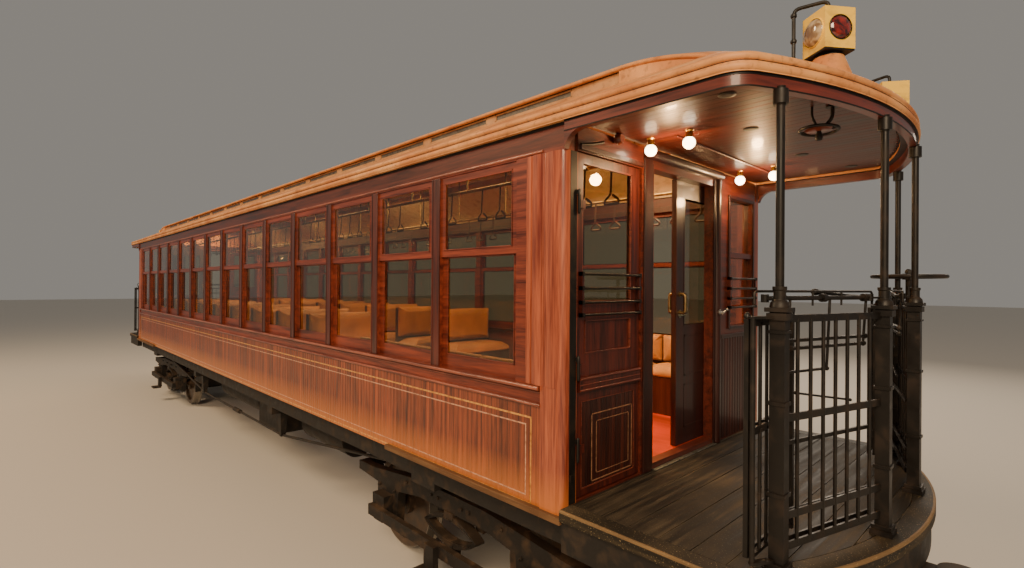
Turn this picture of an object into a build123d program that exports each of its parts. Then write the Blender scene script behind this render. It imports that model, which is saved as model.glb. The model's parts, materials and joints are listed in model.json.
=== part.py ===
"""Wooden elevated railway motor carriage with open, gated end platforms, about 1905.

Millimetres. +X is the front end, +Y the left side, +Z up. The origin is at the middle of the
carriage, on the plane that the wheel flanges stand on. The two ends are the same end turned
half a turn about Z, so an end is drawn once, in a plane whose x points out of the carriage.
"""

import os
from math import atan2, degrees, hypot, sqrt

from build123d import *

os.makedirs("parts", exist_ok=True)

# Carriage body
WINDOW_COUNT = 14
WINDOW_PITCH = 850
POST_WIDTH = 92
END_POST = 210
PILASTER = 170
BODY_WIDTH = 2600
WALL = 70
BULKHEAD = 70

# Heights of the body above the platform floor
FLOOR_HEIGHT = 1230
SILL_DROP = 75
THRESHOLD = 40
BELT_HEIGHT = 630
BELT_BAND = 120
HEAD_HEIGHT = 1930
EAVE_HEIGHT = 2080
FASCIA = 45
DECK_HEIGHT = 2420
DECK_LIGHT_HEIGHT = 2490
CROWN_HEIGHT = 2680

# Roof
EAVE_OVERHANG = 30
DECK_HALF_WIDTH = 800
DECK_OVERHANG = 20
ROOF_SKIN = 35
UPPER_EDGE = 15
HOOD_REACH = 1290
HOOD_RADIUS = 2700
HOOD_CORNER = 160
BULLNOSE_AXIS_HEIGHT = 850

# End platforms
PLATFORM_REACH = 1380
PLATFORM_HALF_WIDTH = 1340
PLATFORM_THICK = 60
PLATFORM_RADIUS = 2340
PLATFORM_CORNER = 130
CORNER_POST = (1030, 1130)
CENTRE_POST = (1247, 380)
POST_SIDE = 60
POST_HEIGHT = 1100
PIPE_RADIUS = 17

# Folding side gates
GATE_PIN = (965, 1240)
GATE_LEAF = 470
GATE_BOTTOM = 60
GATE_HEIGHT = 1000
GATE_FOLD_GAP = 32
GATE_STILE = 20
GATE_RAIL = 12
PICKET_RADIUS = 7
PICKETS = 5
KNUCKLE = 5.5
PIN_GAP = 0.5

# Doors
DOORWAY_HALF = 420
DOORWAY_HEIGHT = 1960
END_DOOR_WIDTH = 880
END_DOOR_EDGE = 10
DOOR_THICK = 40
CAB_DOOR = (1192, 567)
CAB_DOOR_HEIGHT = 1935
END_WINDOW = (700, 1140)
GUARD_HEIGHTS = (1030, 1100, 1180, 1260)
GUARD_RADIUS = 7

# Running gear
FLANGE_DEPTH = 28
TREAD_DIAMETER = 840
WHEEL_WIDTH = 130
WHEEL_BACK = 680
AXLE_RADIUS = 75
JOURNAL_RADIUS = 55
JOURNAL_END = 1010
WHEELBASE = 1830
BOGIE_CENTRE = 4850
FRAME_Y = 940
FRAME_THICK = 80
RUNNING_GAP = 0.5

# Underframe
UNDERFRAME_BOTTOM = 985
TRUSS_LOW = 620
TRUSS_ROD = 14
QUEEN_POST_X = 1700
DRAWBAR_Z = 955
DRAWBAR_EYE = 20
DRAWBAR = (-250, 1500, 100, 50)
DRAWBAR_HEAD = 95
CARRIER = (1290, 1340)

# Places worked out from the sizes above
BODY_LENGTH = WINDOW_COUNT * WINDOW_PITCH - POST_WIDTH + 2 * (END_POST + PILASTER)
HALF = BODY_LENGTH / 2
HALF_WIDTH = BODY_WIDTH / 2
INNER = HALF_WIDTH - WALL
FLOOR = FLOOR_HEIGHT
FRAME_TOP = FLOOR - PLATFORM_THICK
SALOON_FLOOR = FLOOR + THRESHOLD
SILL = FLOOR - SILL_DROP
BELT = FLOOR + BELT_HEIGHT
BELT_BOTTOM = BELT - BELT_BAND
HEAD = FLOOR + HEAD_HEIGHT
EAVE = FLOOR + EAVE_HEIGHT
FASCIA_TOP = EAVE + FASCIA
DECK = FLOOR + DECK_HEIGHT
DECK_TOP = FLOOR + DECK_LIGHT_HEIGHT
CROWN = FLOOR + CROWN_HEIGHT
ROOF_HALF = HALF_WIDTH + EAVE_OVERHANG
WINDOW_WIDTH = WINDOW_PITCH - POST_WIDTH
AXLE_Z = FLANGE_DEPTH + TREAD_DIAMETER / 2
CAR_SECTION = Plane(origin=(-HALF, 0, 0), x_dir=(0, 1, 0), z_dir=(1, 0, 0))
SIDES = {"left": 1, "right": -1}
ENDS = {"front": 1, "rear": -1}


def save(name, builder):
    """Label a finished sub-part and write its STEP file."""
    builder.part.label = name
    export_step(builder.part, f"parts/{name}.step")


def side_plane(side, y):
    """Plane of a side wall: local x along the carriage, local y up, normal outward."""
    return Plane(origin=(0, side * y, 0), x_dir=(-side, 0, 0), z_dir=(0, side, 0))


def end_plane(end, z=0):
    """Plane of an end: local x out of the carriage from the bulkhead's outer face."""
    return Plane(origin=(end * HALF, 0, z), x_dir=(end, 0, 0), z_dir=(0, 0, 1))


def end_face(end, x=0):
    """Upright plane across an end: local x across the carriage, local y up, normal outward."""
    return Plane(origin=(end * (HALF + x), 0, 0), x_dir=(0, end, 0), z_dir=(end, 0, 0))


def bowed_outline(reach, half_width, radius, corner, inset=0):
    """Plan of a platform or hood: straight sides, rounded corners and a bowed end."""
    front = reach - inset
    side = half_width - inset
    bow = radius - inset
    meet = front - bow + sqrt(bow**2 - side**2)
    with BuildSketch() as outline:
        with BuildLine():
            Polyline((0, side), (0, -side), (meet, -side))
            ThreePointArc((meet, -side), (front, 0), (meet, side))
            Line((meet, side), (0, side))
        make_face()
        fillet(outline.vertices().sort_by(Axis.X)[-2:], corner)
    return outline.sketch


def end_side_plane(end, y):
    """Upright plane along an end at a local y: local x out of the carriage, local y up."""
    return Plane(origin=(end * HALF, end * y, 0), x_dir=(end, 0, 0), z_dir=(0, -end, 0))


def hood_sketch(inset=0):
    """Plan of the hood, drawn smaller by an inset."""
    return bowed_outline(HOOD_REACH, ROOF_HALF, HOOD_RADIUS, max(HOOD_CORNER - inset, 60), inset)


def bar(x0, x1, y0, y1, z0, z1, mode=Mode.ADD):
    """Add or cut a straight member given by its two faces in each direction."""
    with Locations(((x0 + x1) / 2, (y0 + y1) / 2, (z0 + z1) / 2)):
        Box(x1 - x0, y1 - y0, z1 - z0, mode=mode)


def upright(x, y, z0, z1, radius):
    """Add an upright round bar."""
    with Locations((x, y, (z0 + z1) / 2)):
        Cylinder(radius, z1 - z0)


# Underframe: sills, cross bearers, bolsters and the curved end sills
BOLSTER_WIDTH = 300
CENTRE_SILL = (180, 290)
END_SILL_DEPTH = 170
END_SILL_THICK = 80
CENTRE_PLATE = (160, 45)
KNEE = (820, 900, 700, 1100)
FRAMING_INSET = 20
CENTRE_SILL_DROP = 25
SIDE_SILL_WIDTH = 130
DRAWBAR_STOP = (80, 40)
STRAP = (16, 15)
STRAP_GAP = 5
STRAP_LAP = 10
BOLSTER_BOTTOM = 930
# columns: half spacing of the pair, width, underside
CROSS_BEARERS = (
    (BOGIE_CENTRE, BOLSTER_WIDTH, BOLSTER_BOTTOM),
    (QUEEN_POST_X, 140, 900),
    (500, 80, UNDERFRAME_BOTTOM),
    (2750, 80, UNDERFRAME_BOTTOM),
    (3700, 80, UNDERFRAME_BOTTOM),
    (4400, 120, UNDERFRAME_BOTTOM),
    (5600, 80, UNDERFRAME_BOTTOM),
    (HALF - 60, 120, UNDERFRAME_BOTTOM),
)
with BuildPart() as underframe:
    for side in SIDES.values():
        sill_reach = HALF + PLATFORM_REACH - END_SILL_THICK - FRAMING_INSET
        inner, outer = sorted((side * CENTRE_SILL[0], side * CENTRE_SILL[1]))
        bar(-sill_reach, sill_reach, inner, outer, UNDERFRAME_BOTTOM - CENTRE_SILL_DROP, FRAME_TOP)
        inner, outer = sorted((side * (INNER - SIDE_SILL_WIDTH), side * INNER))
        bar(-HALF, HALF, inner, outer, UNDERFRAME_BOTTOM, FRAME_TOP)
    for spacing, width, underside in CROSS_BEARERS:
        for x in (-spacing, spacing):
            bar(x - width / 2, x + width / 2, -INNER, INNER, underside, FRAME_TOP)
    framing_reach = PLATFORM_REACH - FRAMING_INSET
    framing_half = PLATFORM_HALF_WIDTH - FRAMING_INSET
    framing_corner = PLATFORM_CORNER - END_SILL_THICK + FRAMING_INSET
    strap_inner = DRAWBAR[2] / 2 + STRAP_GAP
    strap_outer = strap_inner + STRAP[0]
    strap_top = DRAWBAR_Z - DRAWBAR[3] / 2
    for end in ENDS.values():
        with BuildSketch(end_plane(end, FRAME_TOP)):
            add(bowed_outline(framing_reach, framing_half, PLATFORM_RADIUS, PLATFORM_CORNER))
        extrude(amount=-END_SILL_DEPTH)
        with BuildSketch(end_plane(end, FRAME_TOP)):
            add(bowed_outline(framing_reach, framing_half, PLATFORM_RADIUS, framing_corner, END_SILL_THICK))
        extrude(amount=-END_SILL_DEPTH, mode=Mode.SUBTRACT)
        for side in SIDES.values():
            inner, outer = sorted((side * KNEE[0], side * KNEE[1]))
            x0, x1 = sorted((end * (HALF - KNEE[2]), end * (HALF + KNEE[3])))
            bar(x0, x1, inner, outer, UNDERFRAME_BOTTOM, FRAME_TOP)
        x0, x1 = sorted((end * (HALF + DRAWBAR[0]), end * (HALF + DRAWBAR[0] - DRAWBAR_STOP[0])))
        bar(x0, x1, -CENTRE_SILL[0], CENTRE_SILL[0], DRAWBAR_Z - DRAWBAR_STOP[1], FRAME_TOP)
        x0, x1 = sorted((end * (HALF + CARRIER[0]), end * (HALF + CARRIER[1])))
        for side in SIDES.values():
            y0, y1 = sorted((side * strap_inner, side * strap_outer))
            bar(x0, x1, y0, y1, strap_top - STRAP[1], FRAME_TOP - END_SILL_DEPTH + STRAP_LAP)
        bar(x0, x1, -strap_outer, strap_outer, strap_top - STRAP[1], strap_top)
    for x in (-BOGIE_CENTRE, BOGIE_CENTRE):
        upright(x, 0, BOLSTER_BOTTOM - CENTRE_PLATE[1], BOLSTER_BOTTOM, CENTRE_PLATE[0])
save("underframe", underframe)

# Truss rods: four rods over queen posts, with turnbuckles and end anchors
TRUSS_LINES = (330, 1080)
TRUSS_END_X = 4400
TRUSS_END_Z = 945
QUEEN_POST_TOP = 900
with BuildPart() as truss_rods:
    for y in [side * line for line in TRUSS_LINES for side in SIDES.values()]:
        with BuildLine(Plane(origin=(0, y, 0), x_dir=(1, 0, 0), z_dir=(0, -1, 0))) as rod:
            FilletPolyline((-TRUSS_END_X, TRUSS_END_Z), (-QUEEN_POST_X, TRUSS_LOW),
                           (QUEEN_POST_X, TRUSS_LOW), (TRUSS_END_X, TRUSS_END_Z), radius=250)
        with BuildSketch(Plane(origin=rod.line @ 0, z_dir=rod.line % 0)):
            Circle(TRUSS_ROD)
        sweep(path=rod.line)
        with Locations((0, y, TRUSS_LOW)):
            Cylinder(28, 260, rotation=(0, 90, 0))
        for x in (-TRUSS_END_X, TRUSS_END_X):
            bar(x - 45, x + 45, y - 35, y + 35, TRUSS_END_Z - 30, UNDERFRAME_BOTTOM)
        for x in (-QUEEN_POST_X, QUEEN_POST_X):
            with BuildSketch(Plane.XY.offset(QUEEN_POST_TOP)):
                with Locations((x, y)):
                    Rectangle(110, 90)
            with BuildSketch(Plane.XY.offset(TRUSS_LOW - 10)):
                with Locations((x, y)):
                    Rectangle(50, 50)
            loft()
save("truss_rods", truss_rods)

# Gear hung under the frame
# columns: x from, x to, y from, y to, depth below the frame
GEAR_BOXES = (
    (-2650, -1850, 380, 1020, 420),
    (-1500, 400, 480, 1020, 380),
    (700, 1500, -1020, -480, 400),
    (-2600, -1900, -1020, -480, 300),
)
# columns: x from, x to, y, radius
AIR_TANKS = (
    (-1400, 350, -720, 190),
    (750, 1600, 720, 170),
    (1850, 2900, -720, 190),
)
GEAR_STRAP = (60, 30, 180)


def gear_straps(x0, x1, side):
    """Add the straps that carry a piece of gear from the centre sill to the side sill."""
    y0, y1 = sorted((side * CENTRE_SILL[1], side * (INNER - 100)))
    for x in (x0 + GEAR_STRAP[2], x1 - GEAR_STRAP[2]):
        bar(x - GEAR_STRAP[0] / 2, x + GEAR_STRAP[0] / 2, y0, y1, UNDERFRAME_BOTTOM - GEAR_STRAP[1],
            UNDERFRAME_BOTTOM)


with BuildPart() as underfloor_gear:
    for x0, x1, y0, y1, depth in GEAR_BOXES:
        with BuildSketch(Plane.XY.offset(UNDERFRAME_BOTTOM)):
            with Locations(((x0 + x1) / 2, (y0 + y1) / 2)):
                RectangleRounded(x1 - x0, y1 - y0, 25)
        extrude(amount=-depth)
        gear_straps(x0, x1, 1 if y0 > 0 else -1)
    for x0, x1, y, radius in AIR_TANKS:
        centre_z = UNDERFRAME_BOTTOM - radius - 35
        with Locations(((x0 + x1) / 2, y, centre_z)):
            Cylinder(radius, x1 - x0, rotation=(0, 90, 0))
        gear_straps(x0, x1, 1 if y > 0 else -1)
        for x in (x0 + GEAR_STRAP[2], x1 - GEAR_STRAP[2]):
            bar(x - GEAR_STRAP[0] / 2, x + GEAR_STRAP[0] / 2, y - 60, y + 60, centre_z, UNDERFRAME_BOTTOM)
save("underfloor_gear", underfloor_gear)

# Saloon floor
with BuildPart() as body_floor:
    bar(-HALF + BULKHEAD, HALF - BULKHEAD, -INNER, INNER, FRAME_TOP, SALOON_FLOOR)
save("body_floor", body_floor)

# Side walls: sheathed lower panel, window framing with belt rail and letterboard
SIDE_REACH = HALF - PILASTER
BELT_MOULD = (25, 25)
LOWER_MOULD = (22, 12)
for name, side in SIDES.items():
    with BuildPart() as lower_panel:
        with BuildSketch(side_plane(side, INNER)):
            with Locations((0, (SILL + BELT_BOTTOM) / 2)):
                Rectangle(2 * SIDE_REACH, BELT_BOTTOM - SILL)
        extrude(amount=WALL)
    save(f"lower_panel_{name}", lower_panel)

    with BuildPart() as side_frame:
        with BuildSketch(side_plane(side, INNER)):
            with Locations((0, (BELT_BOTTOM + HEAD) / 2)):
                Rectangle(2 * SIDE_REACH, HEAD - BELT_BOTTOM)
            with Locations((0, (HEAD + EAVE) / 2)):
                Rectangle(2 * HALF, EAVE - HEAD)
            with Locations((0, (BELT + HEAD) / 2)):
                with GridLocations(WINDOW_PITCH, 1, WINDOW_COUNT, 1):
                    Rectangle(WINDOW_WIDTH, HEAD - BELT, mode=Mode.SUBTRACT)
        extrude(amount=WALL)
        with BuildSketch(side_plane(side, HALF_WIDTH)):
            with Locations((0, BELT - BELT_MOULD[0] / 2)):
                Rectangle(2 * SIDE_REACH, BELT_MOULD[0])
        extrude(amount=BELT_MOULD[1])
        with BuildSketch(side_plane(side, HALF_WIDTH)):
            with Locations((0, BELT_BOTTOM + LOWER_MOULD[0] / 2)):
                Rectangle(2 * SIDE_REACH, LOWER_MOULD[0])
        extrude(amount=LOWER_MOULD[1])
    save(f"side_frame_{name}", side_frame)

# Sashes: the upper one stands proud of the lower one
SASH_CLEAR = 0.5
SASH_THICK = 22
MEETING = BELT + 775
STILE = 42
RAIL = 42
BOTTOM_RAIL = 85
GLASS = 4
# columns: bottom, top, bottom rail, inner face of the sash
SASHES = (
    (BELT + SASH_CLEAR, MEETING + RAIL / 2, BOTTOM_RAIL, INNER + 16),
    (MEETING - RAIL / 2, HEAD - SASH_CLEAR, RAIL, INNER + 16 + SASH_THICK + 2),
)
for name, side in SIDES.items():
    with BuildPart() as sashes:
        for bottom, top, bottom_rail, face in SASHES:
            with BuildSketch(side_plane(side, face)):
                with Locations((0, (bottom + top) / 2)):
                    with GridLocations(WINDOW_PITCH, 1, WINDOW_COUNT, 1):
                        Rectangle(WINDOW_WIDTH - 2 * SASH_CLEAR, top - bottom)
                with Locations((0, (bottom + bottom_rail + top - RAIL) / 2)):
                    with GridLocations(WINDOW_PITCH, 1, WINDOW_COUNT, 1):
                        Rectangle(WINDOW_WIDTH - 2 * STILE, top - bottom - bottom_rail - RAIL,
                                  mode=Mode.SUBTRACT)
            extrude(amount=SASH_THICK)
    save(f"window_sashes_{name}", sashes)

    with BuildPart() as side_glass:
        for bottom, top, bottom_rail, face in SASHES:
            with BuildSketch(side_plane(side, face + (SASH_THICK - GLASS) / 2)):
                with Locations((0, (bottom + bottom_rail + top - RAIL) / 2)):
                    with GridLocations(WINDOW_PITCH, 1, WINDOW_COUNT, 1):
                        Rectangle(WINDOW_WIDTH - 2 * STILE, top - bottom - bottom_rail - RAIL)
            extrude(amount=GLASS)
    save(f"window_glass_{name}", side_glass)

# Fluted corner pilasters, each turning the corner into the bulkhead
PILASTER_PROUD = 12
CORNER_LEG = 100
CORNER_ROUND = 45
FLUTES = (28, 56, 84, 112)
FLUTE_RADIUS = 7
CAB_HINGE = (8.4, 1196)
CAB_HINGE_HEIGHTS = (280, 730, 1650)
HINGE_KNUCKLE = (8, 45, 24)
with BuildPart() as corner_pilasters:
    for end in ENDS.values():
        for side in SIDES.values():
            with BuildSketch(Plane.XY.offset(SILL)):
                with BuildLine():
                    Polyline(
                        (end * (HALF - PILASTER), side * INNER),
                        (end * (HALF - PILASTER), side * (HALF_WIDTH + PILASTER_PROUD)),
                        (end * HALF, side * (HALF_WIDTH + PILASTER_PROUD)),
                        (end * HALF, side * (HALF_WIDTH - CORNER_LEG)),
                        (end * (HALF - BULKHEAD), side * (HALF_WIDTH - CORNER_LEG)),
                        (end * (HALF - BULKHEAD), side * INNER),
                        close=True,
                    )
                post = make_face()
                outer = post.vertices().sort_by_distance((end * 2 * HALF, side * 2 * HALF_WIDTH, SILL))[0]
                fillet(outer, CORNER_ROUND)
                with Locations([(end * (HALF - PILASTER + flute), side * (HALF_WIDTH + PILASTER_PROUD))
                                for flute in FLUTES]):
                    Circle(FLUTE_RADIUS, mode=Mode.SUBTRACT)
            extrude(amount=HEAD - SILL)
            x0, x1 = sorted((end * (HALF - BULKHEAD), end * HALF))
            y0, y1 = sorted((side * (HALF_WIDTH - CORNER_LEG), side * INNER))
            bar(x0, x1, y0, y1, SILL, FRAME_TOP, mode=Mode.SUBTRACT)
        radius, half_height, rise = HINGE_KNUCKLE
        x0, x1 = sorted((end * HALF, end * (HALF + CAB_HINGE[0])))
        y0, y1 = sorted((-end * CAB_HINGE[1], -end * (CAB_HINGE[1] + 20)))
        for height in CAB_HINGE_HEIGHTS:
            low = FLOOR + height + half_height + PIN_GAP
            upright(end * (HALF + CAB_HINGE[0]), -end * CAB_HINGE[1], low, low + rise, radius)
            bar(x0, x1, y0, y1, low, low + rise)
save("corner_pilasters", corner_pilasters)

# Bulkheads with the sliding door's doorway, the cab door's opening and a window
CAB_OPENING = (HALF_WIDTH - CORNER_LEG, CAB_DOOR[1] - 8)
END_WINDOW_SILL = 880
END_WINDOW_HEAD = 1900
END_WINDOW_RAIL = (1430, 1470)
DOOR_TRACK = (40, 55)
GUARD_STANDOFF = 28
for name, end in ENDS.items():
    with BuildPart(end_plane(end)) as bulkhead:
        with BuildSketch(end_face(end, -BULKHEAD)):
            with Locations((0, (FRAME_TOP + EAVE) / 2)):
                Rectangle(2 * (HALF_WIDTH - CORNER_LEG), EAVE - FRAME_TOP)
            with Locations((0, (SALOON_FLOOR + FLOOR + DOORWAY_HEIGHT) / 2)):
                Rectangle(2 * DOORWAY_HALF, FLOOR + DOORWAY_HEIGHT - SALOON_FLOOR, mode=Mode.SUBTRACT)
            with Locations((-(CAB_OPENING[0] + CAB_OPENING[1]) / 2, FLOOR + (CAB_DOOR_HEIGHT + 13) / 2)):
                Rectangle(CAB_OPENING[0] - CAB_OPENING[1], CAB_DOOR_HEIGHT - 3, mode=Mode.SUBTRACT)
            for low, high in ((END_WINDOW_SILL, END_WINDOW_RAIL[0]), (END_WINDOW_RAIL[1], END_WINDOW_HEAD)):
                with Locations((sum(END_WINDOW) / 2, FLOOR + (low + high) / 2)):
                    Rectangle(END_WINDOW[1] - END_WINDOW[0], high - low, mode=Mode.SUBTRACT)
        extrude(amount=BULKHEAD)
        bar(-BULKHEAD - DOOR_TRACK[1], -BULKHEAD, -DOORWAY_HALF - 60, HALF_WIDTH - CORNER_LEG,
            FLOOR + DOORWAY_HEIGHT + 15, FLOOR + DOORWAY_HEIGHT + 15 + DOOR_TRACK[0])
        for height in GUARD_HEIGHTS:
            with Locations((GUARD_STANDOFF, sum(END_WINDOW) / 2, FLOOR + height)):
                Cylinder(GUARD_RADIUS, END_WINDOW[1] - END_WINDOW[0] + 60, rotation=(90, 0, 0))
        for y in (END_WINDOW[0] - 22, END_WINDOW[1] + 22):
            bar(0, GUARD_STANDOFF, y - 8, y + 8, FLOOR + GUARD_HEIGHTS[0] - 12, FLOOR + GUARD_HEIGHTS[-1] + 12)
    save(f"bulkhead_{name}", bulkhead)

with BuildPart() as end_glass:
    for end in ENDS.values():
        with BuildSketch(end_face(end, -(BULKHEAD + GLASS) / 2)):
            for low, high in ((END_WINDOW_SILL, END_WINDOW_RAIL[0]), (END_WINDOW_RAIL[1], END_WINDOW_HEAD)):
                with Locations((sum(END_WINDOW) / 2, FLOOR + (low + high) / 2)):
                    Rectangle(END_WINDOW[1] - END_WINDOW[0], high - low)
        extrude(amount=GLASS)
save("end_glass", end_glass)

# Motorman's cab doors, hinged at the corner post and opening over the platform
CAB_DOOR_FACE = -15
CAB_WINDOW = (1140, 650, 1100, 1890)
CAB_PANEL = (1115, 660, 810, 1000)
CAB_LOWER_PANEL = (1135, 625, 60, 540)
CAB_RECESS = 10
CAB_MOULD = (600, 680, 22)
CAB_DOOR_BOTTOM = 15
for name, end in ENDS.items():
    with BuildPart(end_plane(end)) as cab_door:
        with BuildSketch(end_face(end, CAB_DOOR_FACE - DOOR_THICK)):
            with Locations((-sum(CAB_DOOR) / 2, FLOOR + (CAB_DOOR_BOTTOM + CAB_DOOR_HEIGHT) / 2)):
                Rectangle(CAB_DOOR[0] - CAB_DOOR[1], CAB_DOOR_HEIGHT - CAB_DOOR_BOTTOM)
            y0, y1, z0, z1 = CAB_WINDOW
            with Locations((-(y0 + y1) / 2, FLOOR + (z0 + z1) / 2)):
                Rectangle(y0 - y1, z1 - z0, mode=Mode.SUBTRACT)
        extrude(amount=DOOR_THICK)
        with BuildSketch(end_face(end, CAB_DOOR_FACE)):
            for y0, y1, z0, z1 in (CAB_PANEL, CAB_LOWER_PANEL):
                with Locations((-(y0 + y1) / 2, FLOOR + (z0 + z1) / 2)):
                    Rectangle(y0 - y1, z1 - z0)
        extrude(amount=-CAB_RECESS, mode=Mode.SUBTRACT)
        bar(CAB_DOOR_FACE, CAB_DOOR_FACE + CAB_MOULD[2], -CAB_DOOR[0] + 12, -CAB_DOOR[1] - 12,
            FLOOR + CAB_MOULD[0], FLOOR + CAB_MOULD[1])
        for height in GUARD_HEIGHTS:
            with Locations((CAB_DOOR_FACE + GUARD_STANDOFF, -sum(CAB_DOOR) / 2, FLOOR + height)):
                Cylinder(GUARD_RADIUS, CAB_DOOR[0] - CAB_DOOR[1] - 50, rotation=(90, 0, 0))
        for y in (-CAB_DOOR[0] + 30, -CAB_DOOR[1] - 30):
            bar(CAB_DOOR_FACE, CAB_DOOR_FACE + GUARD_STANDOFF, y - 8, y + 8,
                FLOOR + GUARD_HEIGHTS[0] - 12, FLOOR + GUARD_HEIGHTS[-1] + 12)
        for height in CAB_HINGE_HEIGHTS:
            z = FLOOR + height
            upright(CAB_HINGE[0], -CAB_HINGE[1], z - HINGE_KNUCKLE[1], z + HINGE_KNUCKLE[1], HINGE_KNUCKLE[0])
            bar(CAB_DOOR_FACE, CAB_HINGE[0], -CAB_DOOR[0] + 1, -CAB_DOOR[0] + 20, z - 24, z + 24)
            bar(CAB_HINGE[0] - 6, CAB_HINGE[0], -CAB_HINGE[1], -CAB_DOOR[0] + 20, z - 24, z + 24)
            bar(CAB_DOOR_FACE, CAB_DOOR_FACE + 6, -CAB_DOOR[0] + 1, -CAB_DOOR[0] + 75, z - 24, z + 24)
    save(f"cab_door_{name}", cab_door)

    with BuildPart() as cab_door_glass:
        with BuildSketch(end_face(end, CAB_DOOR_FACE - (DOOR_THICK + GLASS) / 2)):
            y0, y1, z0, z1 = CAB_WINDOW
            with Locations((-(y0 + y1) / 2, FLOOR + (z0 + z1) / 2)):
                Rectangle(y0 - y1, z1 - z0)
        extrude(amount=GLASS)
    save(f"cab_door_glass_{name}", cab_door_glass)

# Sliding end doors behind the bulkheads, standing half open
LEAF_FACE = -BULKHEAD - 5
LEAF_BOTTOM = THRESHOLD + 6
LEAF_TOP = DOORWAY_HEIGHT + 6
LEAF_STILE = 105
LEAF_WINDOW = (900, 1850)
PULL_HEIGHT = 1070
PULL_SPAN = 150
PULL_DEPTH = 42
for name, end in ENDS.items():
    leaf_middle = END_DOOR_EDGE + END_DOOR_WIDTH / 2
    with BuildPart(end_plane(end)) as end_door:
        with BuildSketch(end_face(end, LEAF_FACE - DOOR_THICK)):
            with Locations((leaf_middle, FLOOR + (LEAF_BOTTOM + LEAF_TOP) / 2)):
                Rectangle(END_DOOR_WIDTH, LEAF_TOP - LEAF_BOTTOM)
            with Locations((leaf_middle, FLOOR + sum(LEAF_WINDOW) / 2)):
                Rectangle(END_DOOR_WIDTH - 2 * LEAF_STILE, LEAF_WINDOW[1] - LEAF_WINDOW[0], mode=Mode.SUBTRACT)
        extrude(amount=DOOR_THICK)
        for face, out in ((LEAF_FACE, 1), (LEAF_FACE - DOOR_THICK, -1)):
            pull_x = face + out * PULL_DEPTH
            upright(pull_x, END_DOOR_EDGE + 52, FLOOR + PULL_HEIGHT - PULL_SPAN / 2,
                    FLOOR + PULL_HEIGHT + PULL_SPAN / 2, 8)
            for z in (PULL_HEIGHT - PULL_SPAN / 2 + 8, PULL_HEIGHT + PULL_SPAN / 2 - 8):
                x0, x1 = sorted((face, pull_x))
                bar(x0, x1, END_DOOR_EDGE + 44, END_DOOR_EDGE + 60, FLOOR + z - 8, FLOOR + z + 8)
        for y in (END_DOOR_EDGE + 150, END_DOOR_EDGE + END_DOOR_WIDTH - 150):
            with Locations((LEAF_FACE - DOOR_THICK / 2, y, FLOOR + LEAF_TOP)):
                Cylinder(8.6, 12, rotation=(0, 90, 0))
    save(f"end_door_{name}", end_door)

    with BuildPart() as end_door_glass:
        with BuildSketch(end_face(end, LEAF_FACE - (DOOR_THICK + GLASS) / 2)):
            with Locations((leaf_middle, FLOOR + sum(LEAF_WINDOW) / 2)):
                Rectangle(END_DOOR_WIDTH - 2 * LEAF_STILE, LEAF_WINDOW[1] - LEAF_WINDOW[0])
        extrude(amount=GLASS)
    save(f"end_door_glass_{name}", end_door_glass)

# Roof. The lower deck rises from the eave to the deck lights in these steps.
# columns: inset from the eave, height
ROOF_STEPS = (
    (0, FASCIA_TOP),
    (60, FASCIA_TOP + 40),
    (170, FASCIA_TOP + 110),
    (330, FASCIA_TOP + 193),
    (ROOF_HALF - DECK_HALF_WIDTH, DECK),
)
with BuildPart() as lower_roof:
    for side in SIDES.values():
        with BuildSketch(CAR_SECTION):
            outer = [(side * ROOF_HALF, EAVE)]
            outer += [(side * (ROOF_HALF - inset), z) for inset, z in ROOF_STEPS]
            inner = [(side * (ROOF_HALF - inset - 40), z - ROOF_SKIN) for inset, z in ROOF_STEPS[:-1]]
            inner = [(side * INNER, EAVE)] + [(side * (INNER - 1), EAVE + ROOF_SKIN)] + inner[2:]
            with BuildLine():
                Polyline(*outer, (side * DECK_HALF_WIDTH, DECK - ROOF_SKIN), *reversed(inner), close=True)
            make_face()
        extrude(amount=BODY_LENGTH)
save("lower_roof", lower_roof)

# Clerestory sides with a shallow light between each pair of deck posts
CLERESTORY_THICK = 40
LIGHT_RECESS = 12
LIGHT_EDGE = 10
with BuildPart() as clerestory:
    for side in SIDES.values():
        with BuildSketch(side_plane(side, DECK_HALF_WIDTH - CLERESTORY_THICK)):
            with Locations((0, (DECK - ROOF_SKIN + DECK_TOP) / 2)):
                Rectangle(BODY_LENGTH, DECK_TOP - DECK + ROOF_SKIN)
        extrude(amount=CLERESTORY_THICK)
        with BuildSketch(side_plane(side, DECK_HALF_WIDTH)):
            with Locations((0, (DECK + DECK_TOP) / 2)):
                with GridLocations(WINDOW_PITCH, 1, WINDOW_COUNT, 1):
                    Rectangle(WINDOW_WIDTH, DECK_TOP - DECK - 2 * LIGHT_EDGE)
        extrude(amount=-LIGHT_RECESS, mode=Mode.SUBTRACT)
save("clerestory", clerestory)

# Upper deck roof
UPPER_HALF = DECK_HALF_WIDTH + DECK_OVERHANG
UPPER_INNER = DECK_HALF_WIDTH - CLERESTORY_THICK
with BuildPart() as upper_roof:
    with BuildSketch(CAR_SECTION):
        with BuildLine():
            Line((UPPER_INNER, DECK_TOP), (UPPER_HALF, DECK_TOP))
            Line((UPPER_HALF, DECK_TOP), (UPPER_HALF, DECK_TOP + UPPER_EDGE))
            ThreePointArc((UPPER_HALF, DECK_TOP + UPPER_EDGE), (0, CROWN), (-UPPER_HALF, DECK_TOP + UPPER_EDGE))
            Line((-UPPER_HALF, DECK_TOP + UPPER_EDGE), (-UPPER_HALF, DECK_TOP))
            Line((-UPPER_HALF, DECK_TOP), (-UPPER_INNER, DECK_TOP))
            ThreePointArc((-UPPER_INNER, DECK_TOP), (0, CROWN - ROOF_SKIN), (UPPER_INNER, DECK_TOP))
        make_face()
    extrude(amount=BODY_LENGTH)
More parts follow.
